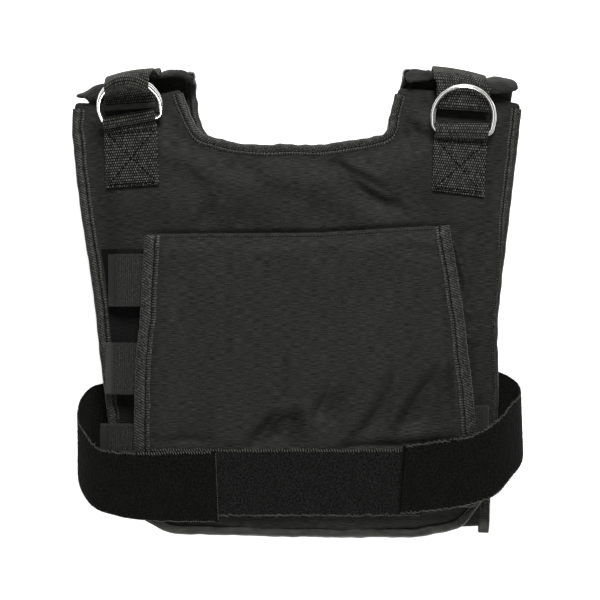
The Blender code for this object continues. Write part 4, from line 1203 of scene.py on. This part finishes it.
shoulderStraps = {
    "clear": 0.4, "behind": (128.0, 150.0, 168.0),                 # gap to the back panel, y of rows on it
    # free: distance from the bars, height over the rings' plane, narrowing, how far the webbing follows
    # the ring's arc, sideways slip and lean
    "left": {
        "node": "shoulder_strap_left", "angle": 138.0, "tilt": 40.0, "narrow": 0.95, "slip": 2.4,
        "free": (
            (43.4, -15.5, 0.90, 0.1, 3.6, 0.13), (47.8, -8.0, 0.86, 0.25, 3.0, 0.12),
            (49.3, -0.5, 0.82, 0.5, 1.8, 0.08), (49.6, 5.0, 0.80, 1.0, 1.0, 0.0),
            (45.8, 6.6, 0.80, 1.0, 0.8, 0.0), (42.0, 5.0, 0.80, 1.0, 0.6, 0.0),
            (40.2, 0.8, 0.80, 1.0, 0.6, 0.0), (39.6, -4.2, 0.82, 0.9, 0.6, 0.02),
            (37.2, -9.4, 0.86, 0.75, 0.4, 0.06), (32.4, -13.6, 0.90, 0.5, 0.2, 0.12),
            (26.8, -15.9, 0.95, 0.2, 0.2, 0.16), (21.2, -16.4, 0.97, 0.0, 0.0, 0.12),
            (16.0, -15.0, 0.97, 0.0, 0.0, 0.05), (10.9, -12.4, 0.97, 0.0, 0.0, 0.0),
            (7.0, -10.0, 0.97, 0.0, 0.0, 0.0))},
    "right": {
        "node": "shoulder_strap_right", "angle": 152.0, "tilt": 0.0, "narrow": 1.0, "slip": -0.8,
        "free": (
            (44.0, 3.6, 1.00, 0.0, -1.4, 0.0), (36.5, 3.4, 1.00, 0.0, -1.2, 0.0),
            (29.0, 3.0, 0.98, 0.0, -0.4, 0.0), (23.5, 1.8, 0.98, 0.0, 0.0, 0.0),
            (21.0, -0.8, 0.98, 0.0, 0.0, 0.0), (23.5, -3.6, 0.98, 0.0, 0.0, 0.0),
            (30.0, -5.1, 0.98, 0.0, 0.0, 0.0), (37.0, -6.2, 0.98, 0.0, 0.0, 0.0))},
    # rows of the hem, in from the strap's end: on the upper face, then on the lower
    "hemAbove": (5.2, 4.0, 2.8, 1.6, 0.4), "hemBelow": (0.4, 2.0, 3.6, 5.2), "hemWall": 0.9, "hemOff": 0.75,
}


def makeStrap(side):
    shoulder, strap = shoulders[side], shoulderStraps[side]
    thickness = webbingSizes["thickness"]
    stations = [webbingSizes["width"] * (k / 4 - 0.5) for k in range(5)]
    level = backPanel["recess"] - shoulderStraps["clear"] - thickness / 2
    radius = backPanel["curlOuter"] + shoulderStraps["clear"] + thickness / 2
    centre = backPanel["recess"] + backPanel["curlOuter"]
    rows = [[(shoulder["strap"] + x, y, level) for x in stations]
            for y in (backPanel["strapTail"], *shoulderStraps["behind"])]
    for k in range(13):
        angle, share = math.radians(strap["angle"]) * k / 12, k / 12
        across = [shoulder["strap"] + x * (1 - share + share * strap["narrow"]) + share * strap["slip"]
                  for x in stations]
        rows.append([(x, float(curlStart(x)) + radius * math.sin(angle), centre - radius * math.cos(angle))
                     for x in across])
    lean = math.radians(strap["tilt"])
    for out, over, narrow, follow, slip, skew in strap["free"]:
        row = []
        for x in stations:
            across = x * narrow + slip
            sag = (ringSizes["radius"] - math.sqrt(ringSizes["radius"] ** 2 - across ** 2)) * follow
            reach = out - sag + x * skew + 0.05 * min(across, 0.0) * float(ease((out - 34.0) / 8.0))
            row.append(fromUnit(shoulder, across, reach * math.cos(lean) - over * math.sin(lean),
                                shoulder["height"] + reach * math.sin(lean) + over * math.cos(lean)))
        rows.append(row)
    grid = denseGrid(rows, webbingSizes["along"], webbingSizes["across"])
    return clothPiece(camelName(strap["node"]), grid, thickness, webbing,
                      strap["node"], webbingRelief)


leftStrap = makeStrap("left")
makeStrap("right")
# the left strap's end is turned under and shows as a smooth strip
u = np.linspace(0.3, leftStrap["u"][-1] - 0.3, 26)
rows = []
for inwards, turn in ((shoulderStraps["hemAbove"], 1), (shoulderStraps["hemBelow"], -1)):
    for inward in inwards:
        v = np.full(len(u), leftStrap["v"][-1] - inward)
        spots, out = onCloth(leftStrap, u, v, faceUp(leftStrap) * turn)
        rows.append(spots + out * shoulderStraps["hemOff"])
clothPiece("strapHem", np.array(rows), shoulderStraps["hemWall"], hemNylon)
print("vest: rings, tabs and straps made")


# Belts: hook-and-loop over their whole face, with a woven selvedge
belts = {
    # x, y, z of the upper edge and of the lower edge
    "left": ((-150, -79, 1.7, -150, -144, 1.7), (-182, -79.5, 1.8, -184, -146, 1.8),
             (-200, -83.5, 6, -203, -151, 7), (-207, -91.5, 15, -208.5, -158, 17),
             (-209, -103, 28, -208.3, -168, 31), (-206, -114, 41, -201.5, -182, 45),
             (-199, -123, 50, -189.5, -193, 54), (-188, -135.5, 56.5, -168, -199.3, 59.5),
             (-154, -140, 61.9, -139.5, -203, 62.2), (-111, -139.5, 62.2, -111, -204, 62.2),
             (-77.5, -139.5, 62.2, -74.8, -204.2, 62.2)),
    "right": ((150, -64, 1.7, 150, -129, 1.7), (184, -67, 1.8, 186, -131, 1.8),
              (198, -72, 6, 201, -135, 6), (207, -79, 15, 208.5, -141, 16),
              (208, -86, 26, 209.3, -146.5, 31), (204.5, -90, 38, 205.8, -154.5, 42),
              (196.5, -96, 47, 195.5, -165, 51), (187, -107, 53.5, 183.2, -178.2, 56.5),
              (164.5, -121.8, 59.6, 162, -187, 60.6), (130, -128.8, 62.2, 116.5, -194.5, 62.2),
              (95, -134.0, 62.2, 90.4, -197, 62.2)),
    "combFrom": -150.0,                            # the left belt is overlocked from here on
    "thickness": 2.6, "bandThickness": 2.5, "step": 1.2, "hiddenStep": 2.5, "selvedge": 2.6, "fuzz": 0.16,
    "band": (-138.0, 112.0, -137.8, -199.0),       # left, right, upper edge, lower edge
    "overlock": {"pitch": 2.45, "fill": 0.42, "radius": 0.44, "lift": 0.50, "sink": 0.12,
                 "across": 2.6, "stray": 0.35},
    "whip": {"pitch": 0.9, "fill": 1.3, "radius": 0.20, "lift": 0.45, "sink": 0.15,
             "across": 1.7, "stray": 0.9},
    "hem": {"pitch": 1.1, "fill": 1.2, "radius": 0.19, "lift": 0.30, "sink": 0.16,
            "across": 1.2, "stray": 0.9},
    # painted shadow: the thick dark stitches across the right belt's end also stand in for the shadow line
    # there
    "endSeamShadow": {"pitch": 2.2, "fill": 0.92, "radius": 0.62, "lift": 0.15, "sink": 0.30, "stray": 0.2},
    "heatCut": {"pitch": 2.3, "fill": 0.62, "radius": 0.28, "lift": 0.15, "sink": 0.12, "stray": 0.2},
}
beltStitches = []


def pileRelief(u, v, width, length):
    # Uneven brushed pile between two thinner selvedges
    edge = np.minimum(np.minimum(u, width - u), np.minimum(v, length - v) + 1.2)
    inside = ease((edge - belts["selvedge"] + 0.8) / 1.4)
    rough = ripples(u, v, 2.6, 41, 9) * 0.6 + ripples(u, v, 6.5, 42, 7) * 0.5
    return belts["fuzz"] * rough * inside - 0.35 * (1.0 - inside)


def sewSelvedge(cloth, upper, lower):
    v = np.arange(1.0, cloth["v"][-1] - 1.0, 0.8)
    wave = 0.2 * ripples(v, v * 0, 9.0, 55)
    for u, style in ((1.0, upper), (cloth["u"][-1] - 0.5, lower)):
        points, out = onCloth(cloth, u + wave, v, faceUp(cloth))
        combed = (points[:, 0] > belts["combFrom"]) & (style == "comb")
        for part, kind in ((combed, "overlock"), (~combed, "whip" if style == "comb" else style)):
            if part.sum() > 3:
                beltStitches.append((points[part] - out[part] * 0.2, out[part], belts[kind]))


def acrossEnd(cloth, margin, inward):
    # Points across a belt's free end, this far from its edges and from its end
    u = np.arange(margin, cloth["u"][-1] - margin, 0.8)
    return onCloth(cloth, u, np.full(len(u), cloth["v"][-1] - inward), faceUp(cloth))


def makeBelt(node, rows, thickness, material, upper="whip", lower="hem"):
    step = belts["hiddenStep"] if node == "belt_back" else belts["step"]     # it lies under the vest
    cloth = clothPiece(camelName(node), denseGrid(rows, step, step), thickness, material,
                       node, pileRelief)
    sewSelvedge(cloth, upper, lower)
    return cloth


def freeBelt(side, upper, lower):
    rows = [[np.array(s[:3]) * (1 - t) + np.array(s[3:]) * t for t in (0, 1 / 3, 2 / 3, 1)]
            for s in belts[side]]
    return makeBelt("belt_" + side, rows, belts["thickness"], pile,
                    upper, lower)


# the left belt's cut end is melted into a thin pale bead; the right belt's end is sewn with a thick row of
# dark stitches that also paints the dark shadow line at that end
spots, out = acrossEnd(freeBelt("left", "comb", "heatCut"), 0.8, 0.25)
beltStitches.append((spots - out * 0.25, out, belts["heatCut"]))
spots, out = acrossEnd(freeBelt("right", "whip", "hem"), 0.5, 1.6)
stitching("endSeamShadowStitches", [(spots, out, belts["endSeamShadow"])], thread)
ends = [np.array(belts[side][0], float).reshape(2, 3) + (slip, 0, 0)
        for side, slip in (("left", gap), ("right", -gap))]
rows = [[a * (1 - t) + b * t for t in (0, 0.5, 1)] for a, b in ends]
rows.insert(1, [(a + b) / 2 for a, b in zip(*rows)])
makeBelt("belt_back", rows, belts["thickness"], pile)
x0, x1, upperY, lowerY = belts["band"]
level = pouchFlap["height"] + pouchFlap["thickness"] + gap + belts["bandThickness"] / 2
rows = [[(x0 + (x1 - x0) * k / 4, y, level) for y in (upperY, (upperY + lowerY) / 2, lowerY)]
        for k in range(5)]
makeBelt("belt_front_band", rows, belts["bandThickness"], bandPile, "overlock")
stitching("beltStitches", beltStitches, paleThread)
print("vest: belts made")


# Threads of the bound edges and of the flap's hem
flapHem = {
    "from": (-130, 61.5), "to": (124, 68.5), "in": 3.4,
    "stitch": {"pitch": 3.2, "fill": 0.72, "radius": 0.27, "lift": 0.34, "sink": 0.10},
}
hem = stretchOf(flapLine, flapHem["from"], flapHem["to"]) - (0.0, flapHem["in"])
hem = np.column_stack([hem, flapMiddle(hem[:, 0], hem[:, 1]) + pouchFlap["thickness"] / 2])
tapeStitches.append((hem, np.tile((0.0, 0.0, 1.0), (len(hem), 1)), flapHem["stitch"]))
stitching("edgeStitches", tapeStitches, thread)
print("vest: stitches made")


# Floor, light and camera
studio = {
    "floor": 6.0, "floorGlow": 0.60, "world": 0.24,
    # name, place, size and power of each soft lamp, aimed at the vest
    "lights": (("softKey", (0.25, 1.95, 1.90), 0.95, 92.0), ("softFill", (-0.3, -0.4, 2.3), 1.2, 8.0),
               ("softLow", (0.15, -1.75, 0.50), 0.7, 26.0)),
}
floorLook = {"base": (0.90, 0.90, 0.90), "roughness": 0.9, "specular": 0.1}
# metres: height over the plane that it frames, that plane's own height, and the width seen there
cameraFacts = {"distance": 1.3, "plane": 0.042, "view": 0.561}


def makeFloor():
    bpy.ops.mesh.primitive_plane_add(size=studio["floor"], location=(0.0, 0.0, 0.0))
    floor = bpy.context.object
    floor.name = "studioFloor"
    board = NodeBoard("studioFloor", floorLook, Emission_Color=(1.0, 1.0, 1.0, 1.0),
                      Emission_Strength=studio["floorGlow"])
    floor.data.materials.append(board.material)


def makeLights():
    world = bpy.data.worlds.new("studio")
    bpy.context.scene.world = world
    world.use_nodes = True
    background = world.node_tree.nodes["Background"]
    background.inputs["Color"].default_value = (1.0, 1.0, 1.0, 1.0)
    background.inputs["Strength"].default_value = studio["world"]
    for name, place, size, power in studio["lights"]:
        data = bpy.data.lights.new(name, "AREA")
        data.energy = power
        data.size = size
        light = bpy.data.objects.new(name, data)
        light.location = place
        light.rotation_euler = (-Vector(place)).to_track_quat("-Z", "Y").to_euler()
        bpy.context.scene.collection.objects.link(light)


def makeCamera():
    data = bpy.data.cameras.new("photoCamera")
    data.sensor_fit = "HORIZONTAL"
    data.angle = 2 * math.atan(cameraFacts["view"] / 2 / cameraFacts["distance"])
    camera = bpy.data.objects.new("photoCamera", data)
    camera.location = (shift[0] / 1000, shift[1] / 1000,
                       cameraFacts["plane"] + cameraFacts["distance"] + shift[2] / 1000)
    bpy.context.scene.collection.objects.link(camera)
    bpy.context.scene.camera = camera


makeFloor()
makeLights()
makeCamera()
bpy.context.scene.view_settings.view_transform = "Standard"
print("vest: stage set")
